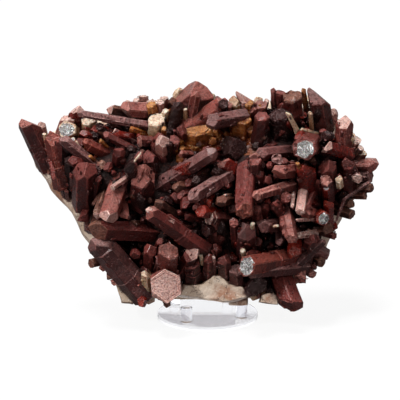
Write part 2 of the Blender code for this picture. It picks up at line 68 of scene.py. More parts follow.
# %% The display view
SENSOR = 36.0
VIEW_DISTANCE = 1100.0
VIEW_ELEVATION = math.radians(14)
VIEW_TARGET = Vector((-4.8, 0.0, 76.3)) * MM
RIGHT = Vector((1, 0, 0))
UPWARD = Vector((0, math.sin(VIEW_ELEVATION), math.cos(VIEW_ELEVATION)))
NEARER = Vector((0, -math.cos(VIEW_ELEVATION), math.sin(VIEW_ELEVATION)))
FRAME_WIDTH = 250.0


def seen(across, up, out):
    """The point that an observer sees at a place of the display view."""
    spread = 1 - out / VIEW_DISTANCE
    return VIEW_TARGET + MM * (spread * (across * RIGHT + up * UPWARD) + out * NEARER)


def display_place(point):
    """Across, up and out of a point, as the observer sees it."""
    offset = point - VIEW_TARGET
    out = offset.dot(NEARER) / MM
    spread = 1 - out / VIEW_DISTANCE
    return offset.dot(RIGHT) / MM / spread, offset.dot(UPWARD) / MM / spread, out


bpy.ops.object.camera_add(location=VIEW_TARGET + NEARER * VIEW_DISTANCE * MM)
camera = bpy.context.object
camera.rotation_euler = (math.pi / 2 - VIEW_ELEVATION, 0, 0)
camera.data.sensor_width = SENSOR
camera.data.lens = SENSOR * VIEW_DISTANCE / FRAME_WIDTH
bpy.context.scene.camera = camera
print("lens", round(camera.data.lens, 1), "mm")

# %% [markdown]
# ## Finishes
#
# Hematite gives each crystal its own red. A finish here is three tones, from the depth of the stain to the
# pale of dust, frost and painted light on the faces, with how smooth and how clear the quartz is. The patterns
# that the finishes share are node groups: growth bands across a crystal, mottled stain, and the curls of
# painted glints on a break.

# %% Helpers for nodes
NOISE_MIDDLE = 0.5


def tone(red, green, blue):
    """A linear colour from the 0 to 255 values of a paint chart."""
    shares = (red / 255, green / 255, blue / 255)
    return tuple(((v + 0.055) / 1.055) ** 2.4 if v > 0.04 else v / 12.92 for v in shares) + (1.0,)


def put(tree, kind, settings=None, **values):
    """Adds a node, with settings by attribute and values by the names of its sockets."""
    made = tree.nodes.new(kind)
    for name, value in (settings or {}).items():
        setattr(made, name, value)
    for name, value in values.items():
        made.inputs[name.replace("_", " ")].default_value = value
    return made


def feed(tree, sockets, values):
    """Gives each socket its value, which is a link or a plain one."""
    for socket, value in zip(sockets, values):
        if isinstance(value, bpy.types.NodeSocket):
            tree.links.new(value, socket)
        else:
            socket.default_value = value


def blend(tree, factor, first, second, kind="MIX"):
    """A colour mix whose factor and colours are links or plain values."""
    made = put(tree, "ShaderNodeMix", {"data_type": "RGBA", "blend_type": kind, "clamp_factor": True})
    feed(tree, (made.inputs[0], made.inputs[6], made.inputs[7]), (factor, first, second))
    return made.outputs[2]


def sum_up(tree, operation, first, second, clamp=False):
    """One step of arithmetic on links or plain values."""
    made = put(tree, "ShaderNodeMath", {"operation": operation, "use_clamp": clamp})
    feed(tree, made.inputs[:2], (first, second))
    return made.outputs[0]


def scaled(tree, value, share, clamp=False):
    return sum_up(tree, "MULTIPLY", value, share, clamp)


def plus(tree, first, second):
    return sum_up(tree, "ADD", first, second)


def from_middle(tree, value):
    """How far a noise is from its middle value, which draws thin lines where it is small."""
    return sum_up(tree, "ABSOLUTE", sum_up(tree, "SUBTRACT", value, NOISE_MIDDLE), 0.0)


def ramp(tree, source, low, high, start=0.0, end=1.0):
    """Maps a value from low..high to start..end with a soft curve."""
    made = put(tree, "ShaderNodeMapRange", {"interpolation_type": "SMOOTHSTEP"})
    tree.links.new(source, made.inputs["Value"])
    made.inputs["From Min"].default_value = low
    made.inputs["From Max"].default_value = high
    made.inputs["To Min"].default_value = start
    made.inputs["To Max"].default_value = end
    return made.outputs["Result"]


def noise(tree, coordinate, scale, detail=3.0, rough=0.55):
    made = put(tree, "ShaderNodeTexNoise", None, Scale=scale, Detail=detail, Roughness=rough)
    tree.links.new(coordinate, made.inputs["Vector"])
    return made.outputs["Fac"]


def new_group(name, inputs, outputs):
    tree = bpy.data.node_groups.new(name, "ShaderNodeTree")
    for socket, value in inputs.items():
        made = tree.interface.new_socket(socket, in_out="INPUT", socket_type="NodeSocketFloat")
        made.default_value = value
    for socket in outputs:
        tree.interface.new_socket(socket, in_out="OUTPUT", socket_type="NodeSocketFloat")
    return tree, tree.nodes.new("NodeGroupInput"), tree.nodes.new("NodeGroupOutput")


print("node helpers ready")

# %% [markdown]
# Quartz grows in layers that end in fine ridges across its prism faces. The bands follow each crystal's own
# length, so they read a UV map in which one unit is a millimetre. A noise stretched across the crystal
# draws them.

# %% Growth bands
BAND_STRETCH = (0.1, 0.75, 1)


def make_growth_bands():
    tree, _, result = new_group("growth_bands", {}, ["Bands"])
    chart = put(tree, "ShaderNodeUVMap", {"uv_map": "lengthwise"})
    stretched = put(tree, "ShaderNodeMapping", None, Scale=BAND_STRETCH)
    tree.links.new(chart.outputs[0], stretched.inputs["Vector"])
    tree.links.new(noise(tree, stretched.outputs[0], 1.0, 4.0, 0.65), result.inputs["Bands"])
    return tree


growth_bands = make_growth_bands()
print("made the group", growth_bands.name)


# %% [markdown]
# The stain is patchy at every size: clouds as wide as a crystal, blotches, and specks of clear or frosted
# quartz no wider than a grain of sand. On the crystals the pale specks are partly painted glints.

# %% Mottled stain
CLOUD_SCALE = 70.0
BLOTCH_SCALE = 330.0
GRAIN_SCALE = 820.0
SPECK_SCALE = 900.0
SPECK_SHARPNESS = 14.0


def make_mottle():
    outputs = ["Clouds", "Blotches", "Specks", "Grain"]
    tree, given, result = new_group("mottle", {"Speck Amount": 0.5}, outputs)
    spot = put(tree, "ShaderNodeTexCoord").outputs["Object"]
    tree.links.new(noise(tree, spot, CLOUD_SCALE, 3.0), result.inputs["Clouds"])
    tree.links.new(noise(tree, spot, BLOTCH_SCALE, 4.0, 0.6), result.inputs["Blotches"])
    tree.links.new(noise(tree, spot, GRAIN_SCALE, 3.0, 0.6), result.inputs["Grain"])
    edge = sum_up(tree, "SUBTRACT", 0.78, scaled(tree, given.outputs["Speck Amount"], 0.22))
    over = sum_up(tree, "SUBTRACT", noise(tree, spot, SPECK_SCALE, 2.0, 0.5), edge)
    tree.links.new(scaled(tree, over, SPECK_SHARPNESS, True), result.inputs["Specks"])
    return tree


mottle = make_mottle()
print("made the group", mottle.name)


# %% [markdown]
# Where quartz breaks it shows curled flakes that glint on their rims. The glints are painted: a noise that is
# strongly distorted draws curls, which the finish paints near white over a dark break.

# %% Painted glint curls
def make_glint_curls():
    tree, _, result = new_group("glint_curls", {}, ["Curls"])
    spot = put(tree, "ShaderNodeTexCoord").outputs["Object"]
    curl = put(tree, "ShaderNodeTexNoise", None, Scale=230.0, Detail=2.0, Distortion=2.2)
    tree.links.new(spot, curl.inputs["Vector"])
    ridge = from_middle(tree, curl.outputs["Fac"])
    tree.links.new(ramp(tree, ridge, 0.01, 0.07, 1.0, 0.0), result.inputs["Curls"])
    return tree


glint_curls = make_glint_curls()
print("made the group", glint_curls.name)

# %% [markdown]
# Each finish below is one material. Gloss, clearness and the refractive index of quartz, 1.544, are plain
# values on the shader. Only colours, roughness and bumps vary over the surface. Marks on the mesh steer them:
# a tone of its own for each face, how far along its crystal a point is, how much dust and painted light its
# face gets, and how open the place is, by which shade is painted into the gaps.

# %% Quartz finishes
QUARTZ_IOR = 1.544
# Colours multiplied into a finish where a place is shut in: painted shade for the deep gaps, with the dirt
# that gathers there.
GAP_SHADE_AND_DIRT = (0.14, 0.06, 0.06, 1)
PALE_GAP_SHADE_AND_DIRT = (0.42, 0.28, 0.22, 1)
HONEY_GAP_SHADE_AND_DIRT = (0.4, 0.2, 0.12, 1)
SHEEN_TINT = (1.0, 0.72, 0.69, 1)
GLOW_RADIUS = (1.0, 0.32, 0.2)
GLOW_DEPTH = 0.003
RELIEF = 0.002


def darker(colour, share):
    return tone(*(v * share for v in colour))


def stained(tree, stain, variety, deep, middle):
    """The body colour: cloudy between deep and middle, with blotches of middle."""
    clouds = plus(tree, stain.outputs["Clouds"], scaled(tree, variety, 0.3))
    body = blend(tree, ramp(tree, clouds, 0.42, 0.85), tone(*deep), tone(*middle))
    blotches = scaled(tree, ramp(tree, stain.outputs["Blotches"], 0.42, 0.62), 0.5)
    return blend(tree, blotches, body, tone(*middle))


def dusted_and_lit(tree, body, stain, bands, along, dust_and_light, colours, frost_and_light, away_shade):
    """Faces that do not look up go darker as painted shade. Dust and painted light in the bands, the tip and
    specks go paler, and pits go dark.
    """
    deep, pale = colours
    # Painted shade: faces that do not look up go darker, by as much as the away shade says.
    body = blend(tree, ramp(tree, dust_and_light, 0.0, 0.3, away_shade, 0.0), body, darker(deep, 0.6))
    # Dust with painted light: faces that look up and the worn edges go paler, more so in the growth bands.
    frosted_and_lit = scaled(tree, dust_and_light, ramp(tree, bands, 0.36, 0.64, 0.3, 1.4))
    body = blend(tree, scaled(tree, frosted_and_lit, frost_and_light, True), body, tone(*pale))
    tip = ramp(tree, plus(tree, along, scaled(tree, stain.outputs["Clouds"], 0.3)), 0.95, 1.25)
    body = blend(tree, scaled(tree, tip, 0.25), body, tone(*pale))
    pits = ramp(tree, stain.outputs["Grain"], 0.48, 0.62, 0.0, 0.55)
    body = blend(tree, pits, body, darker(deep, 0.65))
    # Specks go pale, partly as frosted quartz and partly as painted glints.
    return blend(tree, scaled(tree, stain.outputs["Specks"], 0.55), body, tone(*pale))


def quartz(
    name, deep, middle, pale, rough=0.3, frost_and_light=0.5, specks=0.4, clear=0.0, glow=0.1, bump=0.8, coat=0.08,
    away_shade=0.5, gap_shade_and_dirt=GAP_SHADE_AND_DIRT, painted_glints=False,
):
    made = bpy.data.materials.new("quartz_" + name)
    made.use_nodes = True
    tree = made.node_tree
    shader = tree.nodes["Principled BSDF"]
    bands = put(tree, "ShaderNodeGroup", {"node_tree": growth_bands}).outputs["Bands"]
    stain = put(tree, "ShaderNodeGroup", {"node_tree": mottle}, Speck_Amount=specks)
    marks = put(tree, "ShaderNodeVertexColor", {"layer_name": "growth"})
    parts = put(tree, "ShaderNodeSeparateColor")
    tree.links.new(marks.outputs["Color"], parts.inputs[0])
    variety, along, dust_and_light = parts.outputs
    body = stained(tree, stain, variety, deep, middle)
    body = dusted_and_lit(tree, body, stain, bands, along, dust_and_light, (deep, pale), frost_and_light, away_shade)
    height = plus(tree, bands, scaled(tree, stain.outputs["Grain"], -0.7))
    height = plus(tree, height, scaled(tree, stain.outputs["Blotches"], 0.4))
    # Painted glints: on a broken end the curls are painted near white.
    if painted_glints:
        curls = put(tree, "ShaderNodeGroup", {"node_tree": glint_curls}).outputs["Curls"]
        body = blend(tree, scaled(tree, curls, 0.8), body, tone(*pale))
        height = plus(tree, height, curls)
    openness = put(tree, "ShaderNodeAttribute", {"attribute_name": "openness"}).outputs["Fac"]
    # Painted shade, with the dirt that gathers there: the less open a place is, the more its colour is
    # multiplied by the gap shade. Ends with painted glints are left out.
    shown = ramp(tree, openness, 0.0, 0.5, 1.0 if painted_glints else 0.0)
    shaded = blend(tree, 1.0, body, gap_shade_and_dirt, "MULTIPLY")
    tree.links.new(blend(tree, shown, shaded, body), shader.inputs["Base Color"])
    wear = scaled(tree, stain.outputs["Blotches"], 0.35)
    tree.links.new(sum_up(tree, "ADD", wear, rough - 0.15, True), shader.inputs["Roughness"])
    relief = put(tree, "ShaderNodeBump", None, Strength=bump, Distance=RELIEF)
    tree.links.new(height, relief.inputs["Height"])
    tree.links.new(relief.outputs[0], shader.inputs["Normal"])
    plain = {
        "IOR": QUARTZ_IOR, "Coat Weight": coat, "Coat Roughness": 0.12, "Specular IOR Level": 0.38,
        "Specular Tint": SHEEN_TINT, "Transmission Weight": clear, "Subsurface Weight": glow,
        "Subsurface Radius": GLOW_RADIUS, "Subsurface Scale": GLOW_DEPTH,
    }
    for socket, value in plain.items():
        shader.inputs[socket].default_value = value
    return made


TONES = {
    "maroon": ((38, 8, 8), (92, 26, 22), (156, 90, 82), {}),
    "mauve": ((46, 16, 17), (98, 45, 43), (170, 130, 124), {"frost_and_light": 0.6}),
    "rosy": ((66, 19, 17), (130, 58, 50), (196, 140, 128), {"glow": 0.15}),
    "brick": ((60, 13, 9), (112, 38, 29), (172, 104, 88), {"away_shade": 0.4}),
    "red": (
        (66, 7, 5), (122, 22, 13), (182, 78, 58),
        {"rough": 0.24, "frost_and_light": 0.3, "clear": 0.2, "away_shade": 0.25},
    ),
    "brown": ((40, 15, 11), (86, 40, 29), (154, 110, 92), {"rough": 0.36, "specks": 0.6}),
    "amber": (
        (92, 38, 12), (152, 84, 34), (212, 160, 104),
        {"rough": 0.24, "frost_and_light": 0.3, "glow": 0.3, "away_shade": 0.3, "gap_shade_and_dirt": HONEY_GAP_SHADE_AND_DIRT},
    ),
    "pink": (
        (118, 66, 58), (168, 114, 104), (228, 200, 188),
        {"frost_and_light": 0.6, "glow": 0.2, "away_shade": 0.2, "gap_shade_and_dirt": PALE_GAP_SHADE_AND_DIRT},
    ),
    "cream": (
        (158, 112, 76), (206, 178, 148), (240, 226, 208),
        {"rough": 0.36, "glow": 0.3, "away_shade": 0.1, "gap_shade_and_dirt": PALE_GAP_SHADE_AND_DIRT},
    ),
    # A broken end, dark between curls that are painted near white as glints.
    "sparkle": (
        (12, 8, 8), (52, 44, 43), (255, 254, 252),
        {"rough": 0.2, "frost_and_light": 0.2, "bump": 1.0, "coat": 0.3, "painted_glints": True},
    ),
    "black": ((8, 3, 3), (28, 9, 9), (84, 46, 44), {"rough": 0.22, "frost_and_light": 0.25}),
    "crust": (
        (16, 4, 3), (44, 14, 10), (100, 50, 38),
        {"rough": 0.55, "specks": 0.8, "bump": 1.0, "coat": 0.0},
    ),
}
FINISHES = {}
for name, (deep, middle, pale, surface) in TONES.items():
    FINISHES[name] = quartz(name, deep, middle, pale, **surface)
print(len(FINISHES), "finishes of quartz")

# %% [markdown]
# ## Cutting a crystal
#
# A quartz crystal is a six-sided prism closed by pyramid faces 51.8 degrees from its length. The quickest
# true way to model one is a lapidary's: start from a block and cut away flats with the Bisect tool, which
# closes each cut. One side of a real prism is seldom as far out as the next, so each flat is shaken.

# %% Tools for cutting
PYRAMID_ANGLE = math.radians(51.8)
TAPER = math.radians(0.7)
SMALL_WIDTH = 9.5
FINE = 0.00001


def slanted(bearing, slant):
    """A direction at a bearing about the length, slanted away from it."""
    across = math.sin(slant)
    return Vector((across * math.cos(bearing), across * math.sin(bearing), math.cos(slant)))


def cut(point, normal):
    """Cuts away what lies beyond a plane and closes the cut."""
    bpy.ops.mesh.select_all(action="SELECT")
    bpy.ops.mesh.bisect(plane_co=point, plane_no=normal, use_fill=True, clear_outer=True, threshold=FINE)


def score(point, normal):
    """Adds a loop of edges where a plane crosses the shape."""
    bpy.ops.mesh.select_all(action="SELECT")
    bpy.ops.mesh.bisect(plane_co=point, plane_no=normal, threshold=FINE)


def pick(test):
    """Selects the faces that pass a test, and says how many."""
    bpy.ops.mesh.select_all(action="DESELECT")
    work = bmesh.from_edit_mesh(bpy.context.object.data)
    chosen = [face for face in work.faces if test(face)]
    for face in chosen:
        face.select_set(True)
    bmesh.update_edit_mesh(bpy.context.object.data)
    return len(chosen)


def cut_prism(width, turn, dice):
    """Six sides, slightly tapered."""
    for side in range(6):
        outward = slanted(math.radians(60 * side + turn), math.pi / 2 - TAPER)
        cut(outward * width / 2 * dice.uniform(0.9, 1.06), outward)


def cut_point(width, length, turn, dice, wander, lean):
    """Pyramid faces, three of them larger, round a tip that wanders or leans off the axis."""
    aside = wander * dice.uniform(-1, 1) if lean is None else lean
    apex = Vector((aside * width, wander * width * dice.uniform(-1, 1), length))
    first = dice.choice((0, 1))
    for side in range(6):
        large = side % 2 == first
        if not large and width < SMALL_WIDTH:
            continue
        set_back = width * dice.uniform(*((0, 0.04) if large else (0.08, 0.3)))
        outward = slanted(math.radians(60 * side + turn), PYRAMID_ANGLE)
        cut(apex + outward * set_back, outward)


def cut_break(width, length, dice, slant, lean):
    """A slanting break with one corner knocked off."""
    first = math.radians(dice.uniform(0, 360)) if lean is None else 0
    slope = math.radians(slant * dice.uniform(0.6, 1)) if lean is None else lean
    second = first + math.radians(dice.uniform(100, 260))
    end = Vector((0, 0, length - 0.12 * width))
    cut(end, slanted(first, slope))
    corner = slanted(second, 0.7)
    cut(end + corner * 0.32 * width, corner)


print("cutting tools ready")

# %% [markdown]
# Nothing that grew is quite flat. Some sides carry a plate where one layer stopped short of the next, which
# is an inset face raised a little. Ledges and ring lines cross the shaft, a broken end crumbles, and a slow
# noise bends every line slightly. The dice that shake these things have to fall on the same faces in every
# run, so the faces are first numbered by their places.

# %% Growth on a crystal
BEVEL_SHARE = 0.035
BEVEL_MOST = 0.4
LEDGE_RISE = 0.3
COUNTED_FROM = (131, 57, -73)
RIM_DEPTHS = (-0.01, 0.006, -0.012, 0.005)


def settle():
    """Numbers points and faces by their distance from a far point, so that every run counts them alike."""
    cursor = bpy.context.scene.cursor
    cursor.location = COUNTED_FROM
    bpy.ops.mesh.select_all(action="SELECT")
    bpy.ops.mesh.sort_elements(type="CURSOR_DISTANCE", elements={"VERT", "EDGE", "FACE"})
    cursor.location = (0, 0, 0)
    bpy.ops.object.mode_set(mode="OBJECT")
    bpy.ops.object.mode_set(mode="EDIT")


def pick_at(centre):
    """Selects the face with a given centre."""
    return pick(lambda f: (f.calc_center_median() - centre).length < 0.01)


def any_shift(dice):
    """A place in the noise that no other crystal uses."""
    return Vector((dice.uniform(0, 90), dice.uniform(0, 90), dice.uniform(0, 90)))


def raise_steps(width, dice, count):
    """Raises growth plates on a few of the sides."""
    settle()
    work = bmesh.from_edit_mesh(bpy.context.object.data)
    large = [f for f in work.faces if f.calc_area() > 0.25 * width * width and -0.5 < f.normal.z < 0.3]
    centres = [f.calc_center_median().copy() for f in large]
    for centre in dice.sample(centres, min(count, len(centres))):
        if pick_at(centre):
            margin = width * dice.uniform(0.06, 0.14)
            bpy.ops.mesh.inset(thickness=margin, depth=width * dice.uniform(0.015, 0.035))


def crumble_end(length, width, dice, share, cuts=2):
    """Breaks up the flats across the end."""
    settle()
    if pick(lambda f: f.normal.z > 0.45 and f.calc_center_median().z > length - 0.8 * width):
        bpy.ops.mesh.inset(thickness=0.06 * width)
        bpy.ops.mesh.poke(offset=0.04 * width)
        bpy.ops.mesh.subdivide(number_cuts=cuts)
        work = bmesh.from_edit_mesh(bpy.context.object.data)
        shift = any_shift(dice)
        for vert in work.verts:
            if vert.select:
                vert.co += noise_vector(vert.co / (0.2 * width) + shift) * share * width
        bmesh.update_edit_mesh(bpy.context.object.data)


def rim_end(length, width):
    """Sets rims inside one another on a flat end, as layers that stopped short."""
    work = bmesh.from_edit_mesh(bpy.context.object.data)
    largest = max((f for f in work.faces if f.normal.z > 0.7), key=lambda f: f.calc_area())
    centre = largest.calc_center_median().copy()
    if centre.z > length - 0.6 * width and pick_at(centre):
        for depth in RIM_DEPTHS:
            bpy.ops.mesh.inset(thickness=0.03 * width, depth=depth * width)


def ring_bands(length, width, turn, dice):
    """Scores the shaft across, sets ledges back on some sides, and roughens every line a little."""
    at = width * dice.uniform(0.3, 0.5)
    chance = dice.choice((0, 0.3, 0.6))
    ledges = []
    while at < length - 0.35 * width:
        score(Vector((0, 0, at)), slanted(dice.uniform(0, 6.28), dice.uniform(0, 0.12)))
        if dice.random() < chance:
            score(Vector((0, 0, at + LEDGE_RISE)), Vector((0, 0, 1)))
            ledges.append((at + 0.5 * LEDGE_RISE, dice.randrange(6), width * dice.uniform(0.02, 0.07)))
        at += width * dice.uniform(0.2, 0.5)
    work = bmesh.from_edit_mesh(bpy.context.object.data)
    shift = any_shift(dice)
    for level, side, depth in ledges:
        outward = slanted(math.radians(60 * side + turn), math.pi / 2)
        for vert in work.verts:
            if vert.co.z > level and vert.co.dot(outward) > 0.3 * width:
                vert.co -= outward * depth
    for vert in work.verts:
        if vert.co.z > 0.1 * width:
            vert.co += noise_vector(vert.co / (0.45 * width) + shift) * width * 0.014
            vert.co += noise_vector(vert.co / (1.8 * width) - shift) * width * 0.035
    bmesh.update_edit_mesh(bpy.context.object.data)


print("growth tools ready")

# %% [markdown]
# A crystal is made standing at the origin, in millimetres, because Blender's tools work best at about that
# size. At the end its faces are turned outward, which is checked by its volume: that of a shape turned
# inside out is negative.

# %% A block and its end
def begin_block(width, length):
    """A block to cut a crystal from, standing on the origin."""
    sides = (2 * width, 2 * width, length)
    bpy.ops.mesh.primitive_cube_add(size=1, location=(0, 0, length / 2), scale=sides)
    made = bpy.context.object
    bpy.ops.object.transform_apply(location=True, rotation=False, scale=True)
    bpy.ops.object.mode_set(mode="EDIT")
    return made


def end_block(made):
    """Turns the faces outward and leaves edit mode."""
    settle()
    bpy.ops.mesh.normals_make_consistent(inside=False)
    if bmesh.from_edit_mesh(made.data).calc_volume(signed=True) < 0:
        bpy.ops.mesh.flip_normals()
    bpy.ops.object.mode_set(mode="OBJECT")
    made.select_set(False)
    return made


def place_of(tip, root):
    """The matrix that stands a crystal on its root, pointing at its tip, and its length in millimetres."""
    tip_point = seen(*tip)
    root_point = seen(*root)
    along = (tip_point - root_point).normalized()
    facing = NEARER - NEARER.dot(along) * along
    if facing.length < 0.3:
        facing = UPWARD - UPWARD.dot(along) * along
    facing.normalize()
    place = Matrix((facing.cross(along), facing, along)).transposed().to_4x4() * MM
    place.translation = root_point
    place[3][3] = 1
    return place, (tip_point - root_point).length / MM


print("block tools ready")

# %% [markdown]
# A finished crystal is charted and marked, then moved to its place in metres. The chart is a UV map that runs
# along the length. The marks are a colour on each corner, which nobody sees: its red is the tone of the face,
# its green how far along the corner is, and its blue how much dust and painted light lies on the face. Faces
# that look up get more of it, as dust and as painted light from above, and the worn edges between faces are
# paler still, as painted highlights.

# %% Chart and marks
EDGE_BREADTH = 0.5
SLIM = 1.25


def is_edge(mesh, face):
    """Whether a face is as narrow as the worn edges are."""
    corners = [mesh.vertices[k].co for k in face.vertices]
    longest = max((a - b).length for a, b in zip(corners, corners[1:] + corners[:1]))
    return face.area < EDGE_BREADTH * longest


def keep_slim(mesh, length):
    """Pulls in any point that an operator threw far out of the crystal."""
    spread = sorted(math.hypot(v.co.x, v.co.y) for v in mesh.vertices)
    most = SLIM * spread[len(spread) * 3 // 4]
    for vert in mesh.vertices:
        reach = math.hypot(vert.co.x, vert.co.y)
        if reach > most:
            vert.co.x *= most / reach
            vert.co.y *= most / reach
        vert.co.z = min(max(vert.co.z, 0), length)


def marks_of(mesh, face, up, variety, dice):
    """The tone of a face, and the dust and painted light on it."""
    # Faces that look up get more dust and painted light from above, and the worn edges get painted highlights.
    dust_and_light = 0.05 + 0.7 * up + dice.uniform(-0.2, 0.2)
    if is_edge(mesh, face):
        dust_and_light += dice.uniform(0.4, 1.6)
    dust_and_light = max(0, dust_and_light)
    shade = variety + dice.uniform(-0.3, 0.3)
    if face.material_index == 1:
        shade = dice.uniform(-0.6, 1.3)
        dust_and_light += 0.3
    return shade, dust_and_light


def chart_and_mark(made, length, place, dice):
    """Writes the lengthwise UV map and the growth marks, then moves the mesh to its place."""
    mesh = made.data
    keep_slim(mesh, length)
    chart = mesh.uv_layers.new(name="lengthwise")
    marks = mesh.color_attributes.new("growth", "FLOAT_COLOR", "CORNER")
    variety = dice.uniform(0, 1)
    shift = dice.uniform(0, 500)
    turned = place.to_3x3().normalized()
    for face in mesh.polygons:
        sideways = Vector((-face.normal.y, face.normal.x, 0))
        if sideways.length < 0.5:
            sideways = RIGHT
        shade, dust_and_light = marks_of(mesh, face, (turned @ face.normal).z, variety, dice)
        for corner in face.loop_indices:
            spot = mesh.vertices[mesh.loops[corner].vertex_index].co
            onward = spot.z + spot.y * abs(face.normal.z)
            chart.data[corner].uv = (sideways.dot(spot) + shift, onward + shift)
            marks.data[corner].color = (shade, spot.z / length, dust_and_light, 1)
    mesh.transform(place)
    made.matrix_world = Matrix.Identity(4)


print("marking tools ready")

# %% [markdown]
# The whole course of one crystal: block, sides, end, plates, worn edges, rings, and the finish of its end.
# The end takes a finish of its own where a break laid bare clean quartz, pale, or dark with curls painted
# white as glints.

# %% From block to crystal
def finish_end(mesh, length, width, sparkling):
    """Gives the faces across the end the second material."""
    limit = length - 0.62 * width
    reach = (0.36 if sparkling else 0.6) * width
    least = 0 if sparkling else 0.25
    for face in mesh.polygons:
        inside = math.hypot(face.center.x, face.center.y) < reach
        if face.normal.z > least and face.center.z > limit and inside:
            face.material_index = 1


def grow(number, tip, root, width, end, turn, lean, finish, end_finish):
    """One crystal of the lists below, with dice of its own."""
    dice = random.Random(number)
    place, length = place_of(tip, root)
    made = begin_block(width, length)
    cut_prism(width, turn, dice)
    if end in ("point", "chisel"):
        cut_point(width, length, turn, dice, 0.12 if end == "point" else 0.26, lean)
    else:
        cut_break(width, length, dice, 26 if end == "broken" else 14, lean)
    detail = random.Random(5000 + number)
    if width > 4:
        raise_steps(width, detail, detail.choice((1, 2, 3)))
    bpy.ops.mesh.select_all(action="SELECT")
    edge = min(BEVEL_MOST, BEVEL_SHARE * width)
    bpy.ops.mesh.bevel(offset=edge, segments=1, affect="EDGES", clamp_overlap=True)
    if end == "rimmed":
        rim_end(length, width)
    ring_bands(length, width, turn, detail)
    if end_finish == "sparkle":
        crumble_end(length, width, detail, 0.09, 3)
    elif end == "broken":
        crumble_end(length, width, detail, 0.14, 2)
    elif end == "block":
        crumble_end(length, width, detail, 0.1, 1)
    end_block(made)
    made.data.materials.append(FINISHES[finish])
    made.data.materials.append(FINISHES[end_finish])
    finish_end(made.data, length, width, end_finish == "sparkle")
    chart_and_mark(made, length, place, detail)
    return made


print("ready to grow crystals")

# %% [markdown]
# ## The crystals
#
# Each row is one crystal: its finish, with the finish of its end where that differs, its tip and root as
# across, up and out, its width, how it ends, how far it is turned about its length, and where it matters
# how the end leans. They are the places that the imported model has, so the two agree.

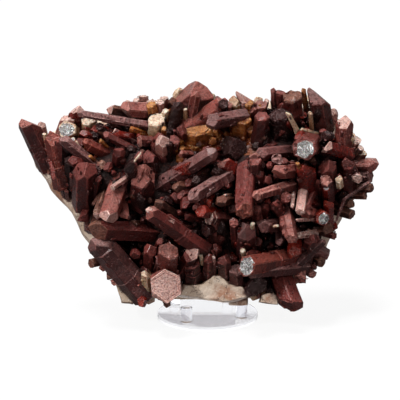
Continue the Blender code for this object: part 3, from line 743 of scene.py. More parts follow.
# %% The crystal list
CRYSTALS = [
    # Left end
    ("maroon rosy", (-109.6, 52.5, 8), (-94, 20, -10), 12.4, "chisel", 20, 0.2),
    ("pink", (-99.5, 49.2, 3), (-96, 32, -8), 6, "point", 0),
    ("brick", (-92.5, 43, 12), (-85, 8, -2), 11.5, "chisel", -20),
    ("maroon", (-91, 12.5, 14), (-94, 31, 2), 3.6, "point", 0),
    ("mauve", (-87.5, 39.5, 22), (-54, 11, 8), 8, "point", 10),
    ("maroon", (-72, 23.5, 30), (-72.5, -4, 4), 13.5, "point", 24),
    ("pink", (-82, 52, 2), (-88, 34, -8), 9.5, "broken", 0, 0.5),
    ("cream sparkle", (-83.5, 44, 13), (-79, 40, -8), 12, "broken", 12),
    ("red pink", (-76, 59.6, 3), (-80, 38, -10), 9.5, "point", -12, -0.1),
    ("cream", (-69.5, 51, 4), (-68.5, 38, -8), 10, "block", 14),
    ("mauve", (-76.5, 54.6, 13), (-31, 46.2, 4), 5.8, "chisel", -8),
    ("red", (-75.5, 41, 12), (-58, 38, 0), 6.5, "point", 10),
    ("brick", (-74.5, 36.5, 18), (-52, 26, 4), 8.5, "chisel", 0),
    ("maroon", (-61, 41.5, 16), (-39, 30, 8), 5.2, "point", -10),
    ("mauve pink", (-54.3, 43.6, 13), (-37, 34.5, 4), 5, "block", 16),
    ("brown pink", (-58.4, 57.5, 1), (-43, 54, -8), 6.8, "point", 12),
    ("rosy", (-50.2, 56.5, 8), (-28, 55.6, -4), 10.6, "chisel", 0),
    ("pink", (-35.4, 65.6, -8), (-34, 52, -14), 6.8, "broken", 0),
    ("brown", (-62, 22, 20), (-60, 18, 2), 6.4, "broken", 0),
    ("maroon", (-50, 23, 20), (-50, 16, 2), 6, "broken", 18),
    ("maroon rosy", (-38.8, 36.5, 18), (-22, 35, 6), 7.2, "block", 20),
    # Cream and amber knot left of the summit
    ("pink", (-22.5, 64.5, 1), (-22, 50, -10), 5.6, "broken", 10),
    ("amber pink", (-28, 62, 0), (-26, 46, -10), 11, "broken", 0),
    ("brown", (-17, 64, 3), (-17, 50, -8), 5.4, "point", 0),
    ("cream", (-14.2, 70.6, -3), (-13, 52, -10), 6.4, "chisel", 10),
    ("cream", (-27, 51.5, 10), (-27, 36, -4), 11, "block", 8),
    ("maroon", (-23.4, 39.6, 24), (-24, 18, 6), 13, "chisel", 0),
    ("maroon", (-15.5, 38.5, 20), (-19, 22, 6), 7, "block", 0),
    ("maroon", (-33, 30.8, 26), (-28, 8, 10), 10, "point", 20),
    ("rosy", (-13.5, 29.3, 27), (3, 27, 6), 5, "chisel", 0),
    # Summit
    ("rosy", (-3.2, 74.6, 6), (-4.5, 38, -8), 23, "point", 12),
    ("rosy", (-2.2, 68.4, 17), (-5.5, 52, 6), 6.8, "chisel", 0),
    ("black", (-14, 61.8, 15), (-19.5, 37, 2), 9, "chisel", 14),
    ("maroon", (-11.5, 45.5, 21), (-11, 34, 6), 6.6, "point", 0),
    ("brick rosy", (20, 61.4, 7), (-13, 41, 2), 14, "chisel", -6, -0.1),
    ("black", (14.6, 60.4, 21), (15, 56, 4), 6, "broken", 0),
    ("amber", (-1, 48, 12), (-4, 24, -6), 21, "block", 0),
    ("mauve", (4.4, 48.4, 27), (28, 51.8, 10), 9.6, "chisel", 0),
    ("amber", (9.5, 46.4, 15), (12, 36, 4), 5, "point", 0),
    ("pink", (26.5, 68.6, 8), (33, 46, -6), 10, "chisel", 26, 0.4),
    ("rosy", (40.6, 61.6, 11), (27.5, 49, 0), 8, "chisel", 0),
    ("cream", (36, 64.5, 2), (38, 50, -8), 6, "point", 8),
    ("amber", (26, 52, 15), (24, 32, 0), 13, "block", 22),
    ("black", (21, 38.5, 24), (21, 20, 4), 17, "point", 6),
    ("maroon", (39, 53.4, 24), (35, 27, 8), 9.6, "block", 30),
    # Right shoulder
    ("maroon", (45.8, 70, 4), (46.6, 50, -6), 4.4, "point", 0),
    ("maroon", (50.2, 68, 3), (50, 52, -8), 6.4, "block", 20),
    ("maroon brown", (57.8, 65.8, 10), (57, 46, -4), 13.6, "block", 6, 0.05),
    ("amber", (64.4, 69.8, 5), (66.5, 56, -6), 4, "point", 0),
    ("maroon mauve", (72.4, 70.2, 7), (77.5, 41, -8), 13.4, "chisel", 10, 0.34),
    ("black", (50, 54.6, 17), (50, 34, 2), 13.4, "block", 24),
    ("cream", (54.4, 55, 24), (61, 42, 12), 3.6, "chisel", 0),
    ("cream", (69, 55, 17), (70.2, 41, -3), 2.8, "chisel", 0),
    ("cream", (62.6, 44.4, 18), (76, 40, -3), 3, "chisel", 0),
    ("pink", (83.4, 57.6, -4), (81, 42, -12), 8, "point", 0),
    ("rosy pink", (90.6, 53, 8), (88, 18, -4), 10.8, "point", 20),
    ("cream", (94.6, 41, -2), (92, 22, -12), 8, "broken", 0),
    ("brown cream", (101, 30.6, 0), (93, 17, -10), 8, "broken", 16),
    ("maroon sparkle", (65.6, 31.6, 40), (68, 36, 4), 14.6, "broken", 10),
    ("black", (79.3, 41, 31), (78, 36, 8), 7, "point", 0),
    ("red pink", (77, 33.8, 33), (93, 28, 10), 8.8, "chisel", 0),
    ("rosy", (31, 26.6, 33), (61, 29.8, 12), 6.8, "point", 0),
    ("maroon mauve", (48, 26.2, 37), (49.5, 16, 12), 8, "broken", 0),
    ("rosy", (47.6, 17.2, 39), (63, 18.6, 16), 9, "chisel", -6),
    ("red", (65.5, 23.4, 35), (67.5, 2, 12), 12, "chisel", 0),
    ("maroon", (79.6, 24.8, 31), (80.5, 7, 8), 11.4, "chisel", 16),
    ("maroon", (91, 26.4, 21), (91, 6, 2), 12, "point", 30),
    ("rosy", (112.6, 21.4, 2), (96, 22.5, -6), 11, "chisel", 10),
    ("mauve", (107.6, 15.4, 1), (93, 12, -6), 8.6, "block", 0),
    ("mauve pink", (98.2, 13.4, 25), (96, 15, 2), 7, "broken", 0),
    ("maroon", (86.6, 15.6, 24), (86, 7, 10), 4.6, "point", 0),
    ("maroon rosy", (79, 12.6, 29), (80, 0, 10), 7.8, "broken", 0),
    ("maroon", (73.4, 12.8, 27), (75.4, 2, 10), 4.6, "point", 0),
    ("brown", (107.6, 7.4, 8), (92, 6.5, -4), 6.6, "block", 10),
    ("brown", (104, 2.4, 6), (88, 3.5, -4), 5.6, "block", 0),
    ("mauve", (90, 0.5, 15), (106, 11, 6), 2.6, "chisel", 0),
    ("brown", (95.2, -3, 6), (80, -1, -6), 6.6, "block", 24),
    ("brown", (95.6, -9.6, 5), (82, -5, -6), 6.6, "block", 8),
    ("red", (86, -16.6, 5), (72, -14, -6), 6.4, "point", 0),
    ("maroon", (84.6, -22.8, 4), (70, -18, -6), 5.6, "block", 0),
    # Centre
    ("rosy", (32.8, 1.6, 43), (58, 9, 20), 7.6, "chisel", 4),
    ("maroon", (45, -1, 35), (53, -11, 18), 8, "chisel", 20),
    ("maroon", (53.8, 1.8, 32), (54, -4, 12), 6.6, "broken", 0),
    ("maroon brick", (27, -8.6, 46), (29, 21, 22), 11.6, "broken", 12),
    ("maroon", (35, 26, 34), (35, 2, 18), 9, "block", 22),
    ("red rosy", (10.6, 24.4, 31), (25, 15, 16), 10.4, "chisel", -8),
    ("mauve", (10.4, 31.4, 39), (-31, 4.5, 12), 11, "chisel", -4),
    ("mauve", (-7, 0.4, 45), (18, 15.4, 24), 9.8, "point", 6),
    ("maroon", (-15.2, 2.6, 33), (0, 5, 18), 7.6, "chisel", 0),
    ("maroon rosy", (-34.6, -6, 45), (3, -31, 20), 11.8, "chisel", -6),
    ("maroon", (-10.6, -9.2, 31), (6, -15, 16), 6.8, "chisel", 0),
    ("maroon pink", (4.6, -11.4, 37), (20, -12, 18), 9.2, "broken", 0),
    ("pink", (15.2, 2.7, 34), (22, 3, 14), 3, "point", 0),
    ("pink", (15, -1.3, 33), (21.5, -1.3, 14), 2.6, "point", 0),
    ("brown", (7.3, -3.2, 30), (9, -2, 8), 5, "broken", 0),
    ("maroon", (41.6, 14.2, 31), (43.5, 4, 16), 6.2, "point", 0),
    ("maroon rosy", (-35, 20.8, 34), (-36, -3, 14), 15, "point", 0),
    ("maroon", (-36.2, 29.4, 33), (-50, 9, 16), 5.6, "chisel", 0),
    ("pink", (-55.2, 7.4, 35), (-45, 14.4, 24), 4, "block", 0),
    ("rosy pink", (-58.6, -14.2, 41), (-49, 13, 16), 12, "chisel", 16),
    ("brown pink", (-64.8, -10.4, 31), (-59, 5, 12), 6.4, "block", 10),
    ("maroon brown", (-69, -18.4, 29), (-27, -20.6, 8), 12.2, "chisel", 0),
    # Lower left
    ("mauve", (-67, -23, 25), (-33.5, -60.6, 8), 16.4, "chisel", 26, 0.1),
    ("brown pink", (-69, -31, 17), (-58, -32, 4), 5, "point", 0),
    ("brown", (-68.8, -39.5, 16), (-57, -37, 4), 6, "block", 0),
    ("rosy", (-62.4, -43.2, 16), (-54, -39, 4), 4.6, "point", 0),
    ("brown", (-58.6, -48.4, 15), (-50, -44, 4), 4.8, "point", 0),
    ("rosy", (-54.2, -51.6, 14), (-46, -48, 4), 4.6, "block", 0),
    ("red", (-35.5, -66.4, 20), (-37, -54, 4), 6.4, "point", 0),
    ("maroon", (-31, -28.6, 25), (-31, -48, 4), 9, "point", 0),
    ("rosy", (-19.4, -30.8, 35), (-21.4, -50, 10), 12.8, "block", 6),
    ("maroon pink", (-3, -31, 31), (-13, -46, 12), 9.2, "chisel", 0),
    ("rosy pink", (-21.4, -54.2, 37), (-22, -50, 4), 18.4, "rimmed", 4),
    ("cream", (-33.6, -43.6, 23), (-32, -62, 6), 8, "chisel", 0),
    ("brown", (-20.5, -66.6, 22), (-21, -56, 6), 5, "point", 0),
    ("maroon", (-4.8, -39.4, 25), (-4, -56, 6), 10.4, "block", 14),
    ("maroon", (6, -33.6, 27), (5, -54, 6), 8, "point", 0),
    ("maroon", (15, -34.8, 27), (16, -53, 6), 9, "chisel", 0),
    ("maroon", (10.6, -27, 25), (10, -44, 6), 8, "point", 0),
    ("mauve", (22.4, -43, 22), (23, -58, 6), 8.4, "block", 0),
    # Lower right
    ("brick sparkle", (28.2, -41.6, 42), (64, -35.5, 0), 14.4, "broken", 6, -0.12),
    ("maroon", (27, -30, 32), (26, -42, 12), 4.4, "point", 0),
    ("mauve", (78, -24.4, 15), (57, -44, 12), 6, "chisel", 0),
    ("rosy", (62.6, -50.6, 13), (62, -35, 0), 8.4, "block", 0, -0.3),
    ("black", (33.4, -60.8, 21), (39, -42, 4), 13, "chisel", 24),
    ("maroon", (57.6, -67.6, 20), (47, -40, 2), 14.4, "block", -10, -0.62),
    ("cream", (31.6, -61.2, 15), (42, -57, 2), 5, "point", 0),
    ("rosy", (57.4, -24.8, 38), (53.6, -4, 20), 7.6, "broken", 28),
    ("pink", (62.4, -8.2, 36), (64.8, 7, 20), 6, "block", 28),
    ("maroon", (58, -5.6, 31), (58.8, 6, 20), 3.2, "point", 0),
    ("maroon", (66.6, -5.4, 31), (71.5, 6, 18), 4, "point", 0),
    ("rosy", (64.4, -6.6, 31), (76, -11.6, 10), 8, "chisel", 8),
    ("red sparkle", (77.6, -11.8, 30), (73, -9, 4), 9.4, "broken", 0),
    ("red", (80, -0.4, 24), (80, -14, 6), 7, "chisel", 0),
    ("pink", (59.8, -13, 31), (74, -11.4, 22), 2.6, "chisel", 0),
    ("maroon", (21, -13.4, 38), (22.6, -28, 16), 6, "broken", 0),
    ("mauve", (29, -16.6, 38), (27.6, -32, 14), 11.6, "point", 14),
    ("maroon", (35.4, -4.4, 36), (36, -19, 18), 7.6, "block", 0),
    ("mauve", (36.4, -16.6, 35), (54, -15, 12), 9, "point", 0),
    ("pink", (61.6, -22.4, 28), (72, -21, 12), 5, "block", 0),
    ("red", (58.4, -35.4, 30), (60, -22, 8), 8.6, "point", 20),
    ("maroon", (70, -21.4, 22), (65.6, -38, 4), 9, "chisel", 0),
    ("mauve", (79.4, -33, 7), (64, -31, -8), 10.4, "chisel", 12),
    ("brown", (76.6, -39.4, 5), (64, -34, -8), 6.6, "block", 0),
    ("rosy", (71, -47, 7), (59, -39, -6), 5.4, "block", 14),
    ("maroon", (73, -42.8, 5), (62, -37, -6), 5, "point", 0),
    ("brown", (80.6, -17, 15), (68, -21, 2), 8, "block", 0),
]

# Lesser crystals that a visitor would still pick out: pale chips, honey windows, thin rails along edges
SMALLER_CRYSTALS = [
    ("pink", (-23.6, 39.6, 29), (-23.2, 30, 20), 8.4, "point", 0),
    ("cream", (-36.6, 29.8, 35), (-41, 24, 33), 1.4, "chisel", 0),
    ("rosy", (-34.6, 20.4, 36.5), (-41.5, 4, 27), 2.6, "chisel", 0),
    ("rosy", (-34, 20, 36.5), (-29.4, 8, 28), 2.4, "chisel", 0),
    ("black", (-33.8, 15, 33.5), (-33.2, 8.4, 28), 3.4, "point", 0),
    ("pink", (-33.6, -5.4, 47), (-17, -14, 38), 4.2, "chisel", 0),
    ("cream", (9.4, 65.4, 3), (1, 52, -6), 7, "chisel", 0),
    ("cream", (20.8, 64.4, 8), (23, 53, 0), 6.4, "chisel", 0),
    ("amber", (30.6, 61, 9), (32, 50, 0), 6, "block", 0),
    ("amber", (38.2, 60, 11), (36, 51, 2), 3.4, "point", 0),
    ("pink", (42, 62.6, 6), (39, 52, -2), 3.6, "broken", 0),
    ("amber", (-31, 60.4, 7), (-28, 49, -2), 6.4, "block", 0),
    ("pink", (-24.6, 62, 5), (-25, 54, 0), 4.6, "broken", 0),
    ("cream", (-21.6, 56.4, 10), (-22, 47, 2), 4, "broken", 0),
    ("amber", (-22.6, 45, 19), (-22.6, 38, 10), 3.6, "block", 0),
    ("cream", (-97.4, 41.6, 9), (-94.4, 31, 4), 3, "broken", 0),
    ("cream sparkle", (-80.4, 37.6, 17), (-75.6, 28, 6), 5, "broken", 0),
    ("cream", (-77.4, 37, 20), (-74.4, 30, 16), 1.6, "chisel", 0),
    ("black", (-63, 46.6, 10), (-62.6, 40.6, 0), 6, "block", 0),
    ("red", (-67.6, 44.4, 11), (-58, 43, 0), 5.4, "point", 0),
    ("amber", (-62.6, 37.2, 17), (-57.6, 33.4, 12), 2.6, "broken", 0),
    ("amber", (-68.8, 27.6, 22), (-65.6, 24.4, 16), 2.4, "broken", 0),
    ("cream", (0.4, -34, 26), (1.6, -40, 20), 2.6, "broken", 0),
    ("pink", (8.6, -35.6, 28), (9, -40, 22), 2.2, "broken", 0),
    ("mauve", (31, -45.6, 38), (66, -42, 6), 8.4, "broken", 0),
    ("cream", (26.6, -31.4, 34), (27.6, -35, 26), 3.6, "broken", 0),
    ("cream", (33, -14.6, 39), (32, -19, 30), 2.6, "broken", 0),
    ("cream", (48.6, -16, 36), (46, -16.6, 30), 2, "broken", 0),
    ("cream", (86.6, 14.6, 27), (87.4, 8.6, 20), 4.6, "chisel", 0),
    ("amber", (60.8, 23, 38), (63.6, 18, 30), 2.6, "broken", 0),
    ("red sparkle", (79, 7.6, 28), (79.6, 2, 18), 4.4, "broken", 0),
    ("mauve", (84.6, -14.4, 14), (90.4, 1, 12), 2.2, "chisel", 0),
    ("pink", (57.6, -4.6, 33), (58.4, 4, 24), 2.6, "chisel", 0),
    ("cream", (94, 47, 2), (91, 38, -6), 5, "broken", 0),
    ("pink", (98.6, 38, 2), (94, 30, -6), 5.4, "broken", 0),
    ("brown pink", (101.4, 33, 4), (96, 26, -4), 5, "broken", 0),
    ("pink", (-45.6, 61.6, 0), (-46, 52, -8), 4, "broken", 0),
    ("pink", (-40, 63, -2), (-39, 54, -8), 4.6, "broken", 0),
    ("cream", (-9.4, 57, 12), (-9, 47, 4), 3, "broken", 0),
]

# Crystals that lean back over the rear rim, as (across, up) of their tips with their widths
REAR_ROOT_OUT = -14
REAR_TIP_OUT = -34
REAR_REACH = 0.84
REAR_FROM = 2000
SMALLER_FROM = 3000
REAR_CRYSTALS = [
    ((-70, 46), 8), ((-18, 60), 9), ((10, 63), 11), ((64, 60), 10), ((84, 46), 9), ((98, 24), 10),
    ((78, -24), 9), ((64, -46), 9), ((-58, -36), 9),
]


def grow_all():
    """All the listed crystals, each with a number that gives it its own dice."""
    grown = []
    numbered = list(enumerate(CRYSTALS)) + list(enumerate(SMALLER_CRYSTALS, SMALLER_FROM))
    for number, row in numbered:
        finishes, tip, root, width, end, turn = row[:6]
        finish, _, end_finish = finishes.partition(" ")
        lean = row[6] if len(row) > 6 else None
        grown.append(grow(number, tip, root, width, end, turn, lean, finish, end_finish or finish))
    for number, ((across, up), width) in enumerate(REAR_CRYSTALS):
        root = (across * REAR_REACH, up * REAR_REACH, REAR_ROOT_OUT)
        finish = ("rosy", "mauve", "maroon")[number % 3]
        tip = (across, up, REAR_TIP_OUT)
        grown.append(grow(REAR_FROM + number, tip, root, width, "point", 0, None, finish, "pink"))
    return grown


def join(pieces, name):
    """Joins objects into one named piece at the origin."""
    bpy.ops.object.select_all(action="DESELECT")
    for piece in pieces:
        piece.select_set(True)
    bpy.context.view_layer.objects.active = pieces[0]
    bpy.ops.object.join()
    pieces[0].name = name
    pieces[0].data.name = name
    pieces[0].select_set(False)
    return pieces[0]


crystals = join(grow_all(), "large_crystals")
print("large crystals:", len(crystals.data.polygons), "faces")

# %% [markdown]
# ## The vein quartz
#
# The crystals grew from the wall of a vein. What is left of it is a slab of massive cream quartz, domed in
# front, broken off in flats behind and underneath. It starts as a filled circle whose points are set on the
# outline. Extruding it layer by layer gives the lump, a noise shifts the points of its subdivided faces, and
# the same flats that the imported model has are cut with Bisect. Each layer is how far out it lies, how far it
# is drawn in, and how rough it is.

# %% The slab
MAIN_SLAB = [
    (-106.5, 29), (-97, 39), (-82, 46), (-66, 49), (-30, 59), (-10, 62),
    (34, 60), (56, 62), (74, 58), (88, 50), (97, 38), (104, 24), (101, 9), (93, -4),
    (84, -20), (76, -36), (64, -50), (48, -60), (30, -61.5), (14, -63), (-20, -62),
    (-38, -63.5), (-49, -62), (-57, -44), (-66, -34), (-71, -24), (-80, -8.5), (-93, 7), (-103, 20),
]
MAIN_LAYERS = [
    (20, 47, 1.5), (9, 28, 1.5), (-5, 6, 1), (-9, 1.5, 0.8), (-16, 0, 1.2), (-27, 2, 1.5), (-40, 9, 2),
]
BACK_FACES = [
    ((-78, 18), -24, (-0.55, 0.1)), ((-58, 36), -26, (-0.25, 0.5)), ((-8, 44), -29, (0.05, 0.62)),
    ((44, 40), -28, (0.22, 0.55)), ((80, 24), -24, (0.7, 0.2)), ((62, -20), -26, (0.5, -0.4)),
    ((-46, -26), -28, (-0.5, -0.42)), ((-30, 8), -35.5, (-0.16, 0.08)), ((28, 4), -36, (0.14, 0.05)),
]
LIP_SLAB = [
    (-15, -60), (-11, -53), (0, -52.5), (9, -45.3), (14.7, -45.3), (19, -51.7), (28.3, -54.5),
    (32.3, -60.2), (23, -63), (14.3, -64.6), (6, -62.6), (-2, -61.4),
]
LIP_LAYERS = [(17, 3.5, 0.6), (15, 0.6, 0.5), (6, 0, 0.5), (-8, 1, 0)]
FOOT_SLAB = [
    (-42, -36), (-22, -24), (12, -22), (36, -34), (42, -50), (30, -66), (0, -68), (-26, -68), (-42, -54),
]
FOOT_LAYERS = [(-12, 6, 0), (-24, 0, 1), (-34, 3, 1.5), (-42, 11, 1.5)]
TOE_SLAB = [(17, -56), (30, -56), (29.5, -66), (18, -66)]
TOE_LAYERS = [(2, 2, 0), (-1, 0, 0.3), (-12, 0, 0)]
FACET_SLAB = [(37, -64), (38.4, -59), (43.5, -57.6), (49, -60), (48, -65.6)]
FACET_LAYERS = [(16, 1.2, 0), (14, 0, 0.3), (-6, 1, 0)]
HEEL_SLAB = [(-52.5, -53), (-44, -50), (-38, -58), (-42, -64.6), (-48.6, -64.6)]
HEEL_LAYERS = [(6, 2, 0), (2, 0, 0.6), (-16, 1, 0.6)]
UNDERSIDE = (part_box("crystal_cluster")[0].z + 0.03 * MM) / MM
WAVE = 9
RIPPLE = 3.5


print(len(MAIN_SLAB), "corners round the slab")


def ring_places(outline, layers, dice):
    """The corners of each layer, in millimetres, drawn in from the outline and shaken."""
    middle = Vector((sum(p[0] for p in outline), sum(p[1] for p in outline))) / len(outline)
    rings = []
    for out, inset, rough in layers:
        ring = []
        for corner in outline:
            outward = Vector(corner) - middle
            drawn_in = inset * min(1, outward.length / 60 + 0.35)
            drawn = middle + outward * max(0.1, 1 - drawn_in / outward.length)
            shaken = [dice.uniform(-rough, rough) for _ in range(3)]
            ring.append(seen(drawn.x + shaken[0], drawn.y + shaken[1], out + shaken[2]) / MM)
        rings.append(ring)
    return rings


def extrude_layers(outline, layers, dice):
    """A lump in edit mode: a filled ring extruded from layer to layer."""
    rings = ring_places(outline, layers, dice)
    bpy.ops.mesh.primitive_circle_add(vertices=len(outline), radius=1, fill_type="NGON")
    made = bpy.context.object
    for vert, place in zip(made.data.vertices, rings[0]):
        vert.co = place
    bpy.ops.object.mode_set(mode="EDIT")
    bpy.ops.mesh.select_mode(type="FACE")
    bpy.ops.mesh.select_all(action="SELECT")
    for before, after in zip(rings, rings[1:]):
        bpy.ops.mesh.extrude_region_move()
        work = bmesh.from_edit_mesh(made.data)
        for vert in [v for v in work.verts if v.select]:
            nearest = min(range(len(before)), key=lambda k: (before[k] - vert.co).length_squared)
            vert.co = after[nearest]
        bmesh.update_edit_mesh(made.data)
    return made


def lump(outline, layers, dice, cuts, rough, flats=()):
    """A rough lump of quartz, broken off flat where it is told to."""
    made = extrude_layers(outline, layers, dice)
    bpy.ops.mesh.select_all(action="SELECT")
    bpy.ops.mesh.normals_make_consistent(inside=False)
    pick(lambda f: len(f.verts) > 4)
    bpy.ops.mesh.poke()
    settle()
    bpy.ops.mesh.quads_convert_to_tris()
    bpy.ops.mesh.subdivide(number_cuts=cuts)
    work = bmesh.from_edit_mesh(made.data)
    shift = any_shift(dice)
    for vert in work.verts:
        wave = noise_vector(vert.co / WAVE + shift)
        vert.co += wave * rough + noise_vector(vert.co / RIPPLE + shift) * 0.5 * rough
    bmesh.update_edit_mesh(made.data)
    for point, normal in flats:
        cut(point, normal)
    cut(Vector((0, 0, UNDERSIDE)), Vector((0, 0, -1)))
    settle()
    bpy.ops.mesh.quads_convert_to_tris()
    return end_block(made)


# %% [markdown]
# The vein quartz is cream and sugary, stained orange-brown where water ran along its cracks. The stain
# gathers in clouds and in thin dark crack lines, which a noise gives where it is close to its middle value.

# %% Vein quartz
CRACK_BREADTH = 0.012


def make_vein_quartz():
    made = bpy.data.materials.new("vein_quartz")
    made.use_nodes = True
    tree = made.node_tree
    shader = tree.nodes["Principled BSDF"]
    stain = put(tree, "ShaderNodeGroup", {"node_tree": mottle}, Speck_Amount=0.7)
    spot = put(tree, "ShaderNodeTexCoord").outputs["Object"]
    openness = put(tree, "ShaderNodeAttribute", {"attribute_name": "openness"}).outputs["Fac"]
    clouds = ramp(tree, stain.outputs["Clouds"], 0.35, 0.65)
    body = blend(tree, clouds, tone(196, 172, 148), tone(228, 208, 188))
    patches = ramp(tree, noise(tree, spot, 38.0, 5.0, 0.62), 0.54, 0.68, 0, 0.8)
    body = blend(tree, patches, body, tone(158, 92, 52))
    rusty = ramp(tree, noise(tree, spot, 95.0, 5.0, 0.6), 0.58, 0.72, 0, 0.7)
    body = blend(tree, rusty, body, tone(110, 52, 36))
    crack = ramp(tree, from_middle(tree, noise(tree, spot, 60.0, 4.0, 0.7)), 0.0, CRACK_BREADTH, 0.75, 0)
    body = blend(tree, crack, body, tone(74, 44, 34))
    body = blend(tree, scaled(tree, stain.outputs["Specks"], 0.6), body, tone(244, 236, 226))
    # Painted shade, with the dirt that gathers there: where the vein quartz is shut in, its colour is
    # multiplied darker.
    shaded = blend(tree, 1.0, body, (0.2, 0.1, 0.08, 1), "MULTIPLY")
    tree.links.new(blend(tree, ramp(tree, openness, 0.05, 0.6), shaded, body), shader.inputs["Base Color"])
    tree.links.new(ramp(tree, stain.outputs["Blotches"], 0.3, 0.7, 0.38, 0.66), shader.inputs["Roughness"])
    height = plus(tree, stain.outputs["Grain"], scaled(tree, stain.outputs["Blotches"], 1.4))
    relief = put(tree, "ShaderNodeBump", None, Strength=0.7, Distance=0.0006)
    tree.links.new(height, relief.inputs["Height"])
    tree.links.new(relief.outputs[0], shader.inputs["Normal"])
    shader.inputs["IOR"].default_value = QUARTZ_IOR
    shader.inputs["Coat Weight"].default_value = 0.15
    return made


vein = make_vein_quartz()
print("made the finish", vein.name)

# %% [markdown]
# All the lumps are joined. In front, where the crystals grow from it, the slab is crusted dark, and honey
# brown in the hollow under the summit.

# %% The slab and its crust
CRUST_OUT = -4.5
CRUST = 1
HONEY_HOLLOW = 2


def crust_of(place):
    """The crust at a place in millimetres: honey brown in the hollow, dark elsewhere."""
    across, up, _ = display_place(place * MM)
    return HONEY_HOLLOW if abs(across - 2) < 36 and 28 < up < 56 else CRUST


def make_matrix():
    """The vein quartz as one piece."""
    flats = [
        (seen(*at, out) / MM, (right * RIGHT + up * UPWARD - NEARER).normalized())
        for at, out, (right, up) in BACK_FACES
    ]
    lumps = [lump(MAIN_SLAB, MAIN_LAYERS, random.Random(3), 4, 1.1, flats)]
    small = (LIP_SLAB, LIP_LAYERS), (FOOT_SLAB, FOOT_LAYERS), (TOE_SLAB, TOE_LAYERS)
    small += (FACET_SLAB, FACET_LAYERS), (HEEL_SLAB, HEEL_LAYERS)
    for number, (outline, layers) in enumerate(small):
        lumps.append(lump(outline, layers, random.Random(3000 + number), 2, 0.8))
    dice = random.Random(11)
    for number, made in enumerate(lumps):
        made.data.materials.append(vein)
        made.data.materials.append(FINISHES["crust"])
        made.data.materials.append(FINISHES["amber"])
        for face in made.data.polygons:
            out = (face.center * MM - VIEW_TARGET).dot(NEARER) / MM
            if number == 0 and out + dice.uniform(-1.5, 1.5) > CRUST_OUT:
                face.material_index = crust_of(face.center)
    made = join(lumps, "vein_quartz")
    made.data.transform(Matrix.Scale(MM, 4))
    return made


matrix = make_matrix()
print("vein quartz:", len(matrix.data.polygons), "faces")

# %% [markdown]
# ## The druse between the crystals
#
# The big crystals stand in a crowd of smaller ones that cover the slab between them. A few master crystals
# are cut once. Each copy gets its own mesh, is stretched along its shaft alone so that its point keeps
# quartz's angles, and stands on the slab where a ray from the front meets it. A copy that would hide one
# of the listed crystals is shortened or left out.

# %% Master crystals
MASTER_WIDTH = 6.0
MASTER_LENGTH = 18.0
SHOULDER = 0.9
ENDS = ("point", "chisel", "point", "chisel")


def cut_master(number, end, detailed):
    """A crystal to copy: with a plate and worn edges, or plain for the smallest."""
    dice = random.Random(700 + number)
    made = begin_block(MASTER_WIDTH, MASTER_LENGTH)
    cut_prism(MASTER_WIDTH, 0, dice)
    if end == "broken":
        cut_break(MASTER_WIDTH, MASTER_LENGTH, dice, 26, None)
    else:
        cut_point(MASTER_WIDTH, MASTER_LENGTH, 0, dice, 0.12 if end == "point" else 0.26, None)
    if detailed:
        raise_steps(MASTER_WIDTH, dice, 1)
        bpy.ops.mesh.select_all(action="SELECT")
        bpy.ops.mesh.bevel(offset=0.22, segments=1, affect="EDGES", clamp_overlap=True)
    end_block(made)
    chart_and_mark(made, MASTER_LENGTH, Matrix.Identity(4), dice)
    return made


masters = [cut_master(number, end, True) for number, end in enumerate(ENDS + ("broken", "point"))]
small_masters = [cut_master(20 + number, end, False) for number, end in enumerate(ENDS)]
print("masters:", [len(made.data.polygons) for made in masters + small_masters], "faces")

# %% [markdown]
# A copy is stretched below its shoulder only, which is where the pyramid starts. Dust and painted light lie on
# it by its new direction, so its marks are written again.

# %% Copies of the masters
def stretch(mesh, width, length):
    """Fits a master's mesh to a width and a length, and keeps the angles of its point."""
    share = width / MASTER_WIDTH
    shoulder = MASTER_LENGTH - SHOULDER * MASTER_WIDTH
    shaft = max(0.2, (length - SHOULDER * width) / shoulder)
    for vert in mesh.vertices:
        vert.co.x *= share
        vert.co.y *= share
        if vert.co.z > shoulder:
            vert.co.z = shaft * shoulder + (vert.co.z - shoulder) * share
        else:
            vert.co.z *= shaft


def copy_crystal(master, width, root, tip, finish, dice):
    """A copy of a master crystal from a root to a tip in metres."""
    mesh = master.data.copy()
    stretch(mesh, width, (tip - root).length / MM)
    turn = Matrix.Rotation(dice.uniform(0, 2 * math.pi), 4, "Z")
    along = (tip - root).normalized()
    place = Matrix.Translation(root) @ along.to_track_quat("Z", "Y").to_matrix().to_4x4() @ turn
    tilt = place.to_3x3()
    marks = mesh.color_attributes["growth"]
    variety = dice.uniform(0, 1)
    for face in mesh.polygons:
        # Dust and painted light from above by the new direction, with painted highlights on the worn edges.
        dust_and_light = max(0, 0.1 + 0.5 * (tilt @ face.normal).z + dice.uniform(-0.15, 0.15))
        if is_edge(mesh, face):
            dust_and_light += dice.uniform(0.1, 0.8)
        for corner in face.loop_indices:
            marks.data[corner].color = (variety, marks.data[corner].color[1], dust_and_light, 1)
    mesh.transform(place @ Matrix.Scale(MM, 4))
    mesh.materials.append(FINISHES[finish])
    made = bpy.data.objects.new("copy", mesh)
    bpy.context.collection.objects.link(made)
    return made


print("ready to copy", len(masters + small_masters), "masters")

# %% [markdown]
# Before a copy is placed, two questions are asked: does it stay within the slab's outline, and what does the
# observer see there? The second is a ray from the observer's eye against the listed crystals.

# %% Where a crystal may stand
OBSERVER = VIEW_TARGET + NEARER * VIEW_DISTANCE * MM


def outline_holds(across, up):
    """Whether a place of the display view lies within the slab's outline."""
    crossings = 0
    for (x0, y0), (x1, y1) in zip(MAIN_SLAB, MAIN_SLAB[1:] + MAIN_SLAB[:1]):
        if (y0 > up) != (y1 > up) and across < x0 + (up - y0) * (x1 - x0) / (y1 - y0):
            crossings += 1
    return crossings % 2 == 1


def tree_of(pieces):
    """The faces of some pieces, ready for rays."""
    points = []
    faces = []
    for piece in pieces:
        start = len(points)
        points.extend(v.co.copy() for v in piece.data.vertices)
        faces.extend([start + k for k in face.vertices] for face in piece.data.polygons)
    return BVHTree.FromPolygons(points, faces)


